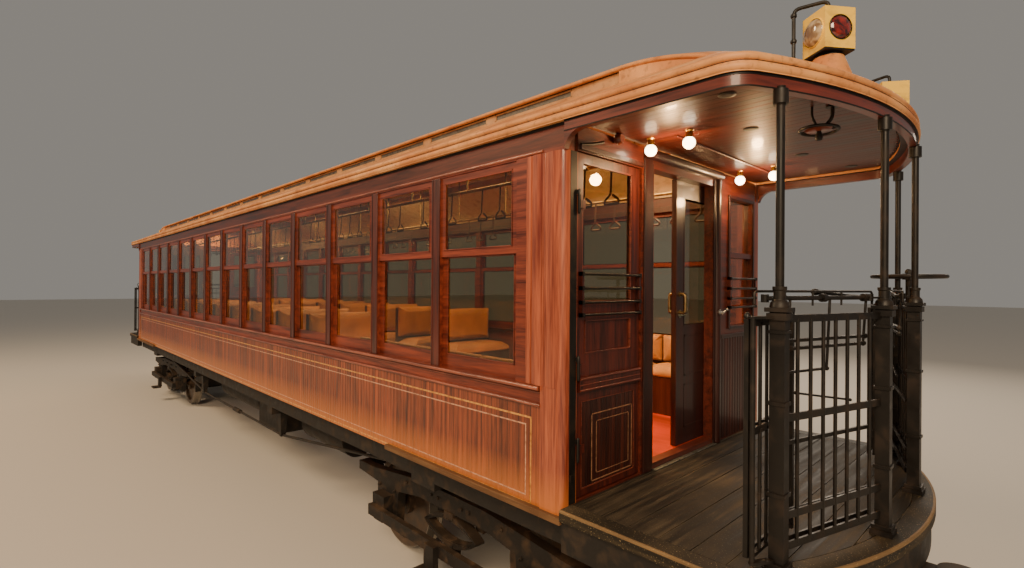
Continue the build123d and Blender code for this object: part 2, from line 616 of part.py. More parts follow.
save("upper_roof", upper_roof)

# Hoods over the platforms: stepped dome, bullnosed upper deck and lamp pedestals
CEILING_RECESS = 20
CEILING_RIM = 90
LAMP_PLACE = (1070, 637)
LAMP_SEAT = FLOOR + 2285
PEDESTAL_FOOT = 123
PEDESTAL_TOP = 66
BULLNOSE_FOOT = DECK - 60
BULLNOSE_AXIS = FLOOR + BULLNOSE_AXIS_HEIGHT
BULLNOSE_TURN = 50
for name, end in ENDS.items():
    with BuildPart() as bullnose:
        with BuildSketch(end_face(end)):
            with BuildLine():
                Polyline((-UPPER_HALF, DECK_TOP + UPPER_EDGE), (-UPPER_HALF, BULLNOSE_FOOT),
                         (UPPER_HALF, BULLNOSE_FOOT), (UPPER_HALF, DECK_TOP + UPPER_EDGE))
                ThreePointArc((UPPER_HALF, DECK_TOP + UPPER_EDGE), (0, CROWN),
                              (-UPPER_HALF, DECK_TOP + UPPER_EDGE))
            make_face()
        revolve(axis=Axis((end * HALF, 0, BULLNOSE_AXIS), (0, end, 0)), revolution_arc=BULLNOSE_TURN)
        with BuildSketch(end_plane(end, FASCIA_TOP)):
            add(hood_sketch())
        extrude(amount=CROWN - FASCIA_TOP, mode=Mode.INTERSECT)
    with BuildPart() as hood:
        with BuildSketch(end_plane(end, EAVE)):
            add(hood_sketch())
        extrude(amount=FASCIA)
        for low, high in zip(ROOF_STEPS[:-1], ROOF_STEPS[1:]):
            with BuildSketch(end_plane(end, low[1])):
                add(hood_sketch(low[0]))
            with BuildSketch(end_plane(end, high[1])):
                add(hood_sketch(high[0]))
            loft(ruled=True)
        add(bullnose.part)
        with BuildSketch(end_plane(end, EAVE)):
            add(hood_sketch(CEILING_RIM))
        extrude(amount=CEILING_RECESS, mode=Mode.SUBTRACT)
        with BuildSketch(end_plane(end, FASCIA_TOP)):
            with Locations((LAMP_PLACE[0], LAMP_PLACE[1]), (LAMP_PLACE[0], -LAMP_PLACE[1])):
                Circle(PEDESTAL_FOOT)
        pedestal_flare = degrees(atan2(PEDESTAL_FOOT - PEDESTAL_TOP, LAMP_SEAT - FASCIA_TOP))
        extrude(amount=LAMP_SEAT - FASCIA_TOP, taper=pedestal_flare)
    save(f"hood_{name}", hood)

# Curved valance boards under the hoods, with rounded brackets at the body
VALANCE_DEPTH = 60
VALANCE_THICK = 38
VALANCE_INSET = 12
BRACKET = 130
BRACKET_TOP = EAVE - VALANCE_DEPTH + 10
BRACKET_DROP = EAVE - VALANCE_DEPTH - HEAD
BRACKET_BOW = 0.3
for name, end in ENDS.items():
    with BuildPart() as valance:
        with BuildSketch(end_plane(end, EAVE)):
            add(hood_sketch(VALANCE_INSET))
        extrude(amount=-VALANCE_DEPTH)
        with BuildSketch(end_plane(end, EAVE)):
            add(hood_sketch(VALANCE_INSET + VALANCE_THICK))
        extrude(amount=-VALANCE_DEPTH, mode=Mode.SUBTRACT)
        for side in SIDES.values():
            outer_y = ROOF_HALF - VALANCE_INSET
            with BuildSketch(end_side_plane(end, outer_y if side > 0 else VALANCE_THICK - outer_y)):
                with BuildLine():
                    Polyline((0, HEAD), (0, BRACKET_TOP), (BRACKET, BRACKET_TOP),
                             (BRACKET, EAVE - VALANCE_DEPTH))
                    ThreePointArc((BRACKET, EAVE - VALANCE_DEPTH),
                                  (BRACKET * BRACKET_BOW, EAVE - VALANCE_DEPTH - BRACKET_DROP * BRACKET_BOW),
                                  (0, HEAD))
                make_face()
            extrude(amount=VALANCE_THICK)
    save(f"hood_valance_{name}", valance)

# Platform floors: planks on the platform framing
for name, end in ENDS.items():
    with BuildPart() as platform:
        with BuildSketch(end_plane(end, FRAME_TOP)):
            add(bowed_outline(PLATFORM_REACH, PLATFORM_HALF_WIDTH, PLATFORM_RADIUS, PLATFORM_CORNER))
        extrude(amount=PLATFORM_THICK)
    save(f"platform_{name}", platform)

# Drawbars under the platforms, each with an eye for a coupling pin
for name, end in ENDS.items():
    x0, x1, width, thick = DRAWBAR
    with BuildPart(end_plane(end)) as drawbar:
        bar(x0, x1, -width / 2, width / 2, DRAWBAR_Z - thick / 2, DRAWBAR_Z + thick / 2)
        upright(x1, 0, DRAWBAR_Z - thick / 2 - 20, DRAWBAR_Z + thick / 2 + 20, DRAWBAR_HEAD)
        with Locations((x1, 0, DRAWBAR_Z)):
            Cylinder(DRAWBAR_EYE, 2 * thick + 80, mode=Mode.SUBTRACT)
    save(f"drawbar_{name}", drawbar)

# Gate posts: cast posts with thin pipes up to the hood, and lugs for the folding gates
POST_FOOT = (95, 25)
POST_CAP = (30, 60)
LUG_THICK = 12
LUG_WIDTH = 28
GATE_LOW = FLOOR + GATE_BOTTOM
GATE_HIGH = GATE_LOW + GATE_HEIGHT
for name, end in ENDS.items():
    with BuildPart(end_plane(end)) as gate_posts:
        for side in SIDES.values():
            for x, y in (CORNER_POST, CENTRE_POST):
                bar(x - POST_SIDE / 2, x + POST_SIDE / 2, side * y - POST_SIDE / 2, side * y + POST_SIDE / 2,
                    FLOOR, FLOOR + POST_HEIGHT)
                bar(x - POST_FOOT[0] / 2, x + POST_FOOT[0] / 2, side * y - POST_FOOT[0] / 2,
                    side * y + POST_FOOT[0] / 2, FLOOR, FLOOR + POST_FOOT[1])
                upright(x, side * y, FLOOR + POST_HEIGHT, EAVE - VALANCE_DEPTH, PIPE_RADIUS)
                upright(x, side * y, EAVE - VALANCE_DEPTH - POST_CAP[1], EAVE - VALANCE_DEPTH, POST_CAP[0])
            lug_angle = degrees(atan2(side * (GATE_PIN[1] - CORNER_POST[1]), GATE_PIN[0] - CORNER_POST[0]))
            lug_length = hypot(GATE_PIN[0] - CORNER_POST[0], GATE_PIN[1] - CORNER_POST[1])
            for z in (GATE_LOW - PIN_GAP - LUG_THICK / 2, GATE_HIGH + PIN_GAP + LUG_THICK / 2):
                middle = ((GATE_PIN[0] + CORNER_POST[0]) / 2, side * (GATE_PIN[1] + CORNER_POST[1]) / 2, z)
                with Locations(Location(middle, (0, 0, lug_angle))):
                    Box(lug_length, LUG_WIDTH, LUG_THICK)
                with Locations((GATE_PIN[0], side * GATE_PIN[1], z)):
                    Cylinder(LUG_WIDTH / 2, LUG_THICK)
    save(f"gate_posts_{name}", gate_posts)

# Folding gates: an outer leaf pinned to the post and an inner leaf hinged to its free end
KNUCKLE_BANDS = ((120, 170), (860, 910))
KNUCKLE_LENGTH = 50
GATE_RAILS = (15, 520, 970)
GATE_RAIL_DEPTH = 30
AXIS_BEYOND = 13


def gate_leaf(side, leaf_x, pin_stile, knuckle_rise):
    """Add a leaf of a gate standing folded, with the knuckles of its hinge on one side."""
    near = side * GATE_PIN[1]
    far = side * (GATE_PIN[1] - GATE_LEAF + AXIS_BEYOND + GATE_STILE / 2)
    axis_y = side * (GATE_PIN[1] - GATE_LEAF)
    axis_x = GATE_PIN[0] - GATE_FOLD_GAP / 2
    tip = near if pin_stile else side * (GATE_PIN[1] - GATE_STILE)
    if pin_stile:
        upright(leaf_x, near, GATE_LOW, GATE_HIGH, GATE_STILE / 2 + 1)
    else:
        bar(leaf_x - GATE_STILE / 2, leaf_x + GATE_STILE / 2, tip - GATE_STILE / 2, tip + GATE_STILE / 2,
            GATE_LOW, GATE_HIGH)
    bar(leaf_x - GATE_STILE / 2, leaf_x + GATE_STILE / 2, far - GATE_STILE / 2, far + GATE_STILE / 2,
        GATE_LOW, GATE_HIGH)
    y0, y1 = sorted((tip, far))
    for rise in GATE_RAILS:
        bar(leaf_x - GATE_RAIL / 2, leaf_x + GATE_RAIL / 2, y0, y1, GATE_LOW + rise,
            GATE_LOW + rise + GATE_RAIL_DEPTH - (15 if rise == GATE_RAILS[0] else 0))
    for index in range(1, PICKETS + 1):
        upright(leaf_x, y0 + (y1 - y0) * index / (PICKETS + 1), GATE_LOW + GATE_RAILS[0],
                GATE_LOW + GATE_RAILS[-1] + GATE_RAIL_DEPTH, PICKET_RADIUS)
    for low, high in KNUCKLE_BANDS:
        z0 = GATE_LOW + low + knuckle_rise
        z1 = z0 + KNUCKLE_LENGTH
        upright(axis_x, axis_y, z0, z1, KNUCKLE)
        tab_y = sorted((axis_y, side * (GATE_PIN[1] - GATE_LEAF + AXIS_BEYOND)))
        tab_x = sorted((axis_x, leaf_x))
        bar(tab_x[0], tab_x[1], tab_y[0], tab_y[1], z0, z1)


for name, end in ENDS.items():
    for side_name, side in SIDES.items():
        with BuildPart(end_plane(end)) as gate_outer:
            gate_leaf(end * side, GATE_PIN[0], True, 0)
        save(f"gate_{name}_{side_name}_outer", gate_outer)
        with BuildPart(end_plane(end)) as gate_inner:
            gate_leaf(end * side, GATE_PIN[0] - GATE_FOLD_GAP, False, KNUCKLE_LENGTH + PIN_GAP)
        save(f"gate_{name}_{side_name}_inner", gate_inner)

# End railings between the gate posts
RAIL_HEIGHTS = (100, 230, 640, 1060)
RAIL_SECTION = (10, 32)
RAIL_BARS = 7
RAIL_BAR_RADIUS = 8
RAIL_RUN = (CENTRE_POST[0] - CORNER_POST[0], CENTRE_POST[1] - CORNER_POST[1])
for name, end in ENDS.items():
    with BuildPart(end_plane(end)) as end_railing:
        for side in SIDES.values():
            run = hypot(*RAIL_RUN)
            unit = (RAIL_RUN[0] / run, side * RAIL_RUN[1] / run)
            start = (CORNER_POST[0], side * CORNER_POST[1])
            angle = degrees(atan2(unit[1], unit[0]))
            slope = abs(RAIL_RUN[0] / RAIL_RUN[1])
            length = run - POST_SIDE * hypot(1, slope) - RAIL_SECTION[0] * slope - 2 * PIN_GAP
            for height in RAIL_HEIGHTS:
                middle = (start[0] + unit[0] * run / 2, start[1] + unit[1] * run / 2, FLOOR + height)
                with Locations(Location(middle, (0, 0, angle))):
                    Box(length, *RAIL_SECTION)
            for index in range(1, RAIL_BARS + 1):
                along = POST_SIDE / 2 + (run - POST_SIDE) * index / (RAIL_BARS + 1)
                upright(start[0] + unit[0] * along, start[1] + unit[1] * along, FLOOR + RAIL_HEIGHTS[0],
                        FLOOR + RAIL_HEIGHTS[-1], RAIL_BAR_RADIUS)
    save(f"end_railing_{name}", end_railing)

# Gate levers on top of the posts
LEVER_Z = FLOOR + POST_HEIGHT + 45
LEVER_RADIUS = 10
LEVER_INSET = 60
with BuildPart() as gate_levers:
    for end in ENDS.values():
        for side in SIDES.values():
            ends = [end_plane(end).from_local_coords(Vector(x - LEVER_INSET, side * y, LEVER_Z))
                    for x, y in (CORNER_POST, CENTRE_POST)]
            with BuildLine() as shaft:
                Line(ends[0], ends[1])
            with BuildSketch(Plane(origin=shaft.line @ 0, z_dir=shaft.line % 0)):
                Circle(LEVER_RADIUS)
            sweep(path=shaft.line)
            for point in ends:
                with Locations(point):
                    Cylinder(16, 34)
                foot = end_plane(end).to_local_coords(point)
                reach = LEVER_INSET - PIPE_RADIUS - PIN_GAP
                middle = end_plane(end).from_local_coords(Vector(foot.X + reach / 2, foot.Y, 0))
                with Locations((middle.X, middle.Y, LEVER_Z)):
                    Box(reach, 24, 10)
save("gate_levers", gate_levers)

# Hand brakes: an upright staff with a spoked wheel on each platform
BRAKE_PLACE = (1130, 900)
BRAKE_HEIGHT = 1270
BRAKE_WHEEL = (200, 13)
BRAKE_SPOKES = 5
BRAKE_STAFF = 16
with BuildPart() as hand_brakes:
    for end in ENDS.values():
        x, y = end * (HALF + BRAKE_PLACE[0]), end * BRAKE_PLACE[1]
        upright(x, y, FLOOR, FLOOR + 20, 55)
        upright(x, y, FLOOR, FLOOR + BRAKE_HEIGHT + 25, BRAKE_STAFF)
        with Locations((x, y, FLOOR + BRAKE_HEIGHT)):
            Torus(*BRAKE_WHEEL)
            Cylinder(34, 40)
            with PolarLocations(BRAKE_WHEEL[0] / 2, BRAKE_SPOKES):
                Box(BRAKE_WHEEL[0], 18, 12)
save("hand_brakes", hand_brakes)

# Marker lamps on the hood pedestals, turned outward, with lens rims and a carrying bail
LAMP_TURN = 36
LAMP_BODY = (154, 192)
LAMP_BASE = (60, 22)
LENS_RIM = (58, 12)
BAIL_REACH = 130
BAIL_RADIUS = 6
BAIL_INSET = 24
with BuildPart() as marker_lamps:
    for end in ENDS.values():
        for side in SIDES.values():
            spot = end_plane(end).from_local_coords(Vector(LAMP_PLACE[0], side * LAMP_PLACE[1], LAMP_SEAT))
            turn = side * LAMP_TURN + (180 if end < 0 else 0)
            with Locations(Location((spot.X, spot.Y, LAMP_SEAT), (0, 0, turn))):
                with Locations((0, 0, LAMP_BASE[1] / 2)):
                    Cylinder(*LAMP_BASE)
                middle = LAMP_BASE[1] + LAMP_BODY[1] / 2
                with Locations((0, 0, middle)):
                    Box(LAMP_BODY[0], LAMP_BODY[0], LAMP_BODY[1])
                with Locations((LAMP_BODY[0] / 2, 0, middle)):
                    Cylinder(LENS_RIM[0], 2 * LENS_RIM[1], rotation=(0, 90, 0))
                with Locations((0, side * LAMP_BODY[0] / 2, middle)):
                    Cylinder(LENS_RIM[0], 2 * LENS_RIM[1], rotation=(90, 0, 0))
                for z in (LAMP_BASE[1] + BAIL_INSET, LAMP_BASE[1] + LAMP_BODY[1] - BAIL_INSET):
                    with Locations((-BAIL_REACH / 2, 0, z)):
                        Cylinder(BAIL_RADIUS, BAIL_REACH, rotation=(0, 90, 0))
                with Locations((-BAIL_REACH, 0, middle)):
                    Cylinder(BAIL_RADIUS, LAMP_BODY[1] - 2 * BAIL_INSET + 2 * BAIL_RADIUS)
save("marker_lamps", marker_lamps)

# Lamps under the platform ceilings
CEILING = EAVE + CEILING_RECESS
LAMP_ROWS = ((110, 640), (360, 640))
SOCKET = (26, 55)
BULB_RADIUS = 36
BULB_DROP = 25
with BuildPart() as platform_lamps:
    for end in ENDS.values():
        for x, y in LAMP_ROWS:
            for side in SIDES.values():
                spot = (end * (HALF + x), side * y)
                upright(*spot, CEILING - SOCKET[1], CEILING, SOCKET[0])
                with Locations((*spot, CEILING - SOCKET[1] - BULB_DROP)):
                    Sphere(BULB_RADIUS)
save("platform_lamps", platform_lamps)

# Saloon seats: long seats by the ends, cross seats in the middle
LONG_SEAT = (3750, 6000)
LONG_SEAT_DEPTH = 430
SEAT_BASE = 330
CUSHION = 100
SEAT_GAP = 0.3
LONG_BACK = 660
LONG_BACK_BOARD = 55
CROSS_ROWS = 8
CROSS_SEAT = (345, 422)
CROSS_BACK = 840
CROSS_BACK_BOARD = 40
PAD = 70
SEAT_WALL = INNER - 1
seat_top = SALOON_FLOOR + SEAT_BASE
row_places = [(row - (CROSS_ROWS - 1) / 2) * WINDOW_PITCH for row in range(CROSS_ROWS)]
with BuildPart() as seat_frames:
    for side in SIDES.values():
        for end in ENDS.values():
            x0, x1 = sorted((end * LONG_SEAT[0], end * LONG_SEAT[1]))
            y0, y1 = sorted((side * (SEAT_WALL - LONG_SEAT_DEPTH), side * SEAT_WALL))
            bar(x0, x1, y0, y1, SALOON_FLOOR, seat_top)
            y0, y1 = sorted((side * (SEAT_WALL - LONG_BACK_BOARD), side * SEAT_WALL))
            bar(x0, x1, y0, y1, seat_top, SALOON_FLOOR + LONG_BACK)
        for x in row_places:
            y0, y1 = sorted((side * CROSS_SEAT[0], side * SEAT_WALL))
            back = x - CROSS_SEAT[1] / 2
            bar(back, x + CROSS_SEAT[1] / 2, y0, y1, SALOON_FLOOR, seat_top)
            bar(back - CROSS_BACK_BOARD, back, y0, y1, SALOON_FLOOR, SALOON_FLOOR + CROSS_BACK)
save("seat_frames", seat_frames)

with BuildPart() as seat_cushions:
    for side in SIDES.values():
        for end in ENDS.values():
            x0, x1 = sorted((end * LONG_SEAT[0], end * LONG_SEAT[1]))
            front = SEAT_WALL - LONG_SEAT_DEPTH
            back = SEAT_WALL - LONG_BACK_BOARD - SEAT_GAP
            y0, y1 = sorted((side * front, side * (back - PAD - 5)))
            bar(x0, x1, y0, y1, seat_top + SEAT_GAP, seat_top + CUSHION)
            y0, y1 = sorted((side * (back - PAD), side * back))
            bar(x0, x1, y0, y1, seat_top + 40, SALOON_FLOOR + LONG_BACK + 20)
        for x in row_places:
            y0, y1 = sorted((side * CROSS_SEAT[0], side * SEAT_WALL))
            back = x - CROSS_SEAT[1] / 2 + SEAT_GAP
            bar(back + 5, x + CROSS_SEAT[1] / 2 + 15, y0, y1, seat_top + SEAT_GAP, seat_top + CUSHION)
            bar(back, back + PAD, y0, y1, seat_top + CUSHION + 5, SALOON_FLOOR + CROSS_BACK + 20)
save("seat_cushions", seat_cushions)

# Bogies: side frames with pedestals, elliptic springs, bolster, motors, shoe beams and brake blocks
HALF_BASE = WHEELBASE / 2
BOGIE_END = 1440
BOGIE_END_SILL = (1390, 640, 720)
CHORD_TOP = 800
CHORD_LAP = 100
TIE_BAR = (300, 330)
JAW_HALF = 95
JAW_TOP = 560
LEG = 55
BOX_BOTTOM = 350
BOX_FACES = (890, 1075)
TRANSOM = (200, 290, 560, 760)
BOLSTER = (170, 700, 850)
MOTOR_X = 480
MOTOR_Z = 430
MOTOR_RADIUS = 205
MOTOR_LENGTH = 780
BEARING_TUBE = (108, 600)
SHOE_BEAM = (1000, 50, 380, 470)
SPRING = (330, 120, 45)
SPRING_Z = 520
BRAKE_BLOCK = (8, 46, 722, 808)
BLOCK_ARC = (240, 260)
BLOCK_LAP = 12
HANGER_INSET = 25
HANGER_DROP = 30
SPRING_INSET = 5
SPRING_CLAMP = 60
CLAMP_INSET = 10
CLAMP_LAP = 20
COVER_INSET = 25
SHOE_ARM = 50
SHOE_PLATE = (110, 40, 15)
SHOE_LAP = 20
MOTOR_LUG = (200, 70, 15)
NOSE = (240, 70)
POCKET = 60
PLATE_LAP = 10
PLATE_RIM = 20
BORE_BEYOND = (10, 4)
# columns: x, z of the half outline of a side frame, from the middle of its top
SIDE_FRAME = (
    (0, CHORD_TOP),
    (420, CHORD_TOP),
    (1180, 720),
    (BOGIE_END, 720),
    (BOGIE_END, 640),
    (HALF_BASE + JAW_HALF + LEG + 20, 610),
    (HALF_BASE + JAW_HALF + LEG, TIE_BAR[1]),
    (HALF_BASE + JAW_HALF, TIE_BAR[1]),
    (HALF_BASE + JAW_HALF, JAW_TOP),
    (HALF_BASE - JAW_HALF, JAW_TOP),
    (HALF_BASE - JAW_HALF, TIE_BAR[1]),
    (HALF_BASE - JAW_HALF - LEG, TIE_BAR[1]),
    (HALF_BASE - JAW_HALF - LEG - 30, 610),
    (420, 660),
    (0, 660),
)
for name, end in ENDS.items():
    bogie = Plane(origin=(end * BOGIE_CENTRE, 0, 0), x_dir=(end, 0, 0), z_dir=(0, 0, 1))

    def bogie_side(y):
        """Upright plane along the bogie at a local y: local x out of the carriage, local y up."""
        return Plane(origin=(end * BOGIE_CENTRE, end * y, 0), x_dir=(end, 0, 0), z_dir=(0, -end, 0))

    with BuildPart(bogie) as bogie_frame:
        for side in SIDES.values():
            face = side * FRAME_Y + FRAME_THICK / 2
            with BuildSketch(bogie_side(face)):
                with BuildLine():
                    Polyline(*SIDE_FRAME, *[(-x, z) for x, z in reversed(SIDE_FRAME[1:-1])], close=True)
                make_face()
            extrude(amount=FRAME_THICK)
            with BuildSketch(bogie_side(face - SPRING_INSET)):
                for reach, rise, mode in ((SPRING[0], SPRING[1], Mode.ADD),
                                          (SPRING[0] - SPRING[2], SPRING[1] - SPRING[2], Mode.SUBTRACT)):
                    with BuildLine():
                        ThreePointArc((-reach, SPRING_Z), (0, SPRING_Z + rise), (reach, SPRING_Z))
                        ThreePointArc((reach, SPRING_Z), (0, SPRING_Z - rise), (-reach, SPRING_Z))
                    make_face(mode=mode)
            extrude(amount=FRAME_THICK - 2 * SPRING_INSET)
            y0, y1 = face - FRAME_THICK + CLAMP_INSET, face - CLAMP_INSET
            bar(-SPRING_CLAMP, SPRING_CLAMP, y0, y1, SPRING_Z + SPRING[1] - CLAMP_LAP, CHORD_TOP - CHORD_LAP)
            bar(-SPRING_CLAMP, SPRING_CLAMP, y0, y1, TIE_BAR[0], SPRING_Z - SPRING[1] + CLAMP_LAP)
            bar(-HALF_BASE - JAW_HALF - LEG, HALF_BASE + JAW_HALF + LEG, y0, y1, *TIE_BAR)
            for x in (-HALF_BASE, HALF_BASE):
                y0, y1 = sorted((side * BOX_FACES[0], side * BOX_FACES[1]))
                bar(x - JAW_HALF, x + JAW_HALF, y0, y1, BOX_BOTTOM, JAW_TOP)
                bar(x - JAW_HALF + COVER_INSET, x + JAW_HALF - COVER_INSET, y0, y1, TIE_BAR[1], BOX_BOTTOM)
            beam_face = BOX_FACES[1] + SHOE_BEAM[1]
            y0, y1 = sorted((side * BOX_FACES[1], side * beam_face))
            bar(-SHOE_BEAM[0], SHOE_BEAM[0], y0, y1, SHOE_BEAM[2], SHOE_BEAM[3])
            y0, y1 = sorted((side * beam_face, side * (beam_face + SHOE_ARM)))
            bar(-SPRING_CLAMP, SPRING_CLAMP, y0, y1, TIE_BAR[0] - SHOE_LAP, SHOE_BEAM[3])
            y0, y1 = sorted((side * (beam_face + SHOE_LAP), side * (HALF_WIDTH - SHOE_LAP)))
            bar(-SHOE_PLATE[0], SHOE_PLATE[0], y0, y1, TIE_BAR[0] - SHOE_PLATE[1], TIE_BAR[0] - SHOE_PLATE[2])
        for direction in (-1, 1):
            x0, x1 = sorted((direction * TRANSOM[0], direction * TRANSOM[1]))
            bar(x0, x1, -FRAME_Y, FRAME_Y, TRANSOM[2] + CHORD_LAP, TRANSOM[3])
            bar(x0, x1, -FRAME_Y + POCKET, FRAME_Y - POCKET, TRANSOM[2], TRANSOM[3])
            x0, x1 = sorted((direction * BOGIE_END_SILL[0], direction * BOGIE_END))
            bar(x0, x1, -FRAME_Y, FRAME_Y, *BOGIE_END_SILL[1:])
            with Locations((direction * MOTOR_X, 0, MOTOR_Z)):
                Cylinder(MOTOR_RADIUS, MOTOR_LENGTH, rotation=(90, 0, 0))
            x0, x1 = sorted((direction * TRANSOM[0], direction * MOTOR_X))
            bar(x0, x1, -MOTOR_LUG[0], MOTOR_LUG[0], MOTOR_Z + MOTOR_LUG[1], TRANSOM[2] + MOTOR_LUG[2])
            x0, x1 = sorted((direction * MOTOR_X, direction * HALF_BASE))
            bar(x0, x1, -NOSE[0], NOSE[0], AXLE_Z - NOSE[1], AXLE_Z + NOSE[1])
            with Locations((direction * HALF_BASE, 0, AXLE_Z)):
                Cylinder(BEARING_TUBE[0], BEARING_TUBE[1], rotation=(90, 0, 0))
            for side in SIDES.values():
                gap, thick, y0, y1 = BRAKE_BLOCK
                y0, y1 = sorted((side * y0, side * y1))
                with BuildSketch(bogie_side(y1)):
                    with Locations((direction * HALF_BASE, AXLE_Z)):
                        Circle(TREAD_DIAMETER / 2 + gap + thick)
                        Circle(TREAD_DIAMETER / 2 + gap, mode=Mode.SUBTRACT)
                    with Locations((direction * (HALF_BASE + TREAD_DIAMETER / 2 + gap), AXLE_Z)):
                        Rectangle(*BLOCK_ARC, mode=Mode.INTERSECT)
                extrude(amount=y1 - y0)
                x0, x1 = sorted((direction * (HALF_BASE + TREAD_DIAMETER / 2 + gap + thick - BLOCK_LAP),
                                 direction * (BOGIE_END_SILL[0] + BLOCK_LAP)))
                bar(x0, x1, y0 + HANGER_INSET, y1 - HANGER_INSET, AXLE_Z - HANGER_DROP, BOGIE_END_SILL[1])
        bar(-BOLSTER[0], BOLSTER[0], -FRAME_Y, FRAME_Y, TRANSOM[3] - POCKET, BOLSTER[2])
        bar(-TRANSOM[0], TRANSOM[0], -FRAME_Y + POCKET, FRAME_Y - POCKET, TRANSOM[3] - POCKET, BOLSTER[2] - POCKET)
        upright(0, 0, BOLSTER[2] - PLATE_LAP, BOLSTER_BOTTOM - CENTRE_PLATE[1] - RUNNING_GAP,
                CENTRE_PLATE[0] + PLATE_RIM)
        for x in (-HALF_BASE, HALF_BASE):
            with Locations((x, 0, AXLE_Z)):
                Cylinder(AXLE_RADIUS + RUNNING_GAP, BEARING_TUBE[1] + BORE_BEYOND[0], rotation=(90, 0, 0),
                         mode=Mode.SUBTRACT)
                Cylinder(JOURNAL_RADIUS + RUNNING_GAP, 2 * JOURNAL_END + BORE_BEYOND[1], rotation=(90, 0, 0),
                         mode=Mode.SUBTRACT)
    save(f"bogie_frame_{name}", bogie_frame)

# Wheelsets: one axle and its two flanged wheels
HUB_RADIUS = 130
SEAT_RADIUS = 85
RIM_INNER = 350
WEB = (730, 770)
# columns: radius, distance from the middle of the axle
WHEELSET = (
    (0, 0),
    (AXLE_RADIUS, 0),
    (AXLE_RADIUS, WHEEL_BACK - 12),
    (HUB_RADIUS, WHEEL_BACK - 12),
    (HUB_RADIUS, WEB[0]),
    (RIM_INNER, WEB[0]),
    (RIM_INNER, WHEEL_BACK),
    (TREAD_DIAMETER / 2 + FLANGE_DEPTH - 8, WHEEL_BACK),
    (TREAD_DIAMETER / 2 + FLANGE_DEPTH, WHEEL_BACK + 9),
    (TREAD_DIAMETER / 2 + FLANGE_DEPTH, WHEEL_BACK + 20),
    (TREAD_DIAMETER / 2 + 4, WHEEL_BACK + 33),
    (TREAD_DIAMETER / 2, WHEEL_BACK + 48),
    (TREAD_DIAMETER / 2 - 4, WHEEL_BACK + WHEEL_WIDTH),
    (RIM_INNER, WHEEL_BACK + WHEEL_WIDTH),
    (RIM_INNER, WEB[1]),
    (HUB_RADIUS, WEB[1]),
    (HUB_RADIUS, WHEEL_BACK + WHEEL_WIDTH + 15),
    (SEAT_RADIUS, WHEEL_BACK + WHEEL_WIDTH + 15),
    (JOURNAL_RADIUS, WHEEL_BACK + WHEEL_WIDTH + 40),
    (JOURNAL_RADIUS, JOURNAL_END),
    (0, JOURNAL_END),
)
for name, end in ENDS.items():
    for place, direction in (("outer", 1), ("inner", -1)):
        axle = (end * (BOGIE_CENTRE + direction * HALF_BASE), 0, AXLE_Z)
        with BuildPart() as wheelset:
            with BuildSketch(Plane(origin=axle, x_dir=(1, 0, 0), z_dir=(0, 0, 1))):
                with BuildLine():
                    Polyline(*WHEELSET[1:], *[(r, -y) for r, y in reversed(WHEELSET[2:])], close=True)
                make_face()
            revolve(axis=Axis(axle, (0, 1, 0)))
        save(f"wheelset_{name}_{place}", wheelset)
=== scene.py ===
"""Looks of a wooden elevated railway motor carriage with open, gated end platforms.

Metres. +X is the front end, +Y the left side, +Z up, and Z = 0 is the plane of the wheel flanges.
An end's own places are given in local x, y, z: x out of the carriage from the bulkhead's outer
face, y across it, z up, from the platform's floor where a former is lifted to it. The rear end is
the front end turned half a turn about Z.
"""

import json
import logging
import math
from dataclasses import dataclass, field
from enum import Enum
from functools import partial
from typing import Iterable, Sequence

import bmesh
import bpy
import numpy as np
from mathutils import Matrix, Vector

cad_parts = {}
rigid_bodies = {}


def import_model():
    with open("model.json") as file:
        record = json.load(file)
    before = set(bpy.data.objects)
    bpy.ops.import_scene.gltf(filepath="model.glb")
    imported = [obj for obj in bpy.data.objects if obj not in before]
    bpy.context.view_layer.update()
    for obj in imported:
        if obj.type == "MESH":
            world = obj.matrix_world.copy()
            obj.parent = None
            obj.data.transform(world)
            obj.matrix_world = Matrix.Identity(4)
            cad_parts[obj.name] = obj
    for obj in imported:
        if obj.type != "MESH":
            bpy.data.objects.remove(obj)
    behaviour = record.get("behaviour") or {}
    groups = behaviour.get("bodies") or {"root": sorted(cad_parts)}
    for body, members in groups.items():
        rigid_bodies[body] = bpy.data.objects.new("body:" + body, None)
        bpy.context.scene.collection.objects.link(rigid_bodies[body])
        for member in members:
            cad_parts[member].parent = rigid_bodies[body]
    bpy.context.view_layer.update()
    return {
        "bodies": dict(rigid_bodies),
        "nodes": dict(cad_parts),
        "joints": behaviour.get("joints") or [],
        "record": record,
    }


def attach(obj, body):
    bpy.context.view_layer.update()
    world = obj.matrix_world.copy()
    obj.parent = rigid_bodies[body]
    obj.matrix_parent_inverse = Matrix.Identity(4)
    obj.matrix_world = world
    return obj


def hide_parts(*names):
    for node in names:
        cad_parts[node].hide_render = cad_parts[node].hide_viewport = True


Socket = bpy.types.NodeSocket
Pair = tuple[float, float]
Triple = tuple[float, float, float]
Box = tuple[float, float, float, float]

LOG = logging.getLogger("carriage")


class Grain(Enum):
    """Direction that a wood's grain runs in."""

    ALONG = (1.3, 26.0, 26.0)
    ACROSS = (26.0, 1.3, 26.0)
    UPRIGHT = (26.0, 26.0, 1.3)
    LEVEL = (1.6, 1.6, 30.0)


class BoardRun(Enum):
    """Coordinate that tells one board from the next."""

    NONE = ""
    BY_X = "X"
    BY_Y = "Y"


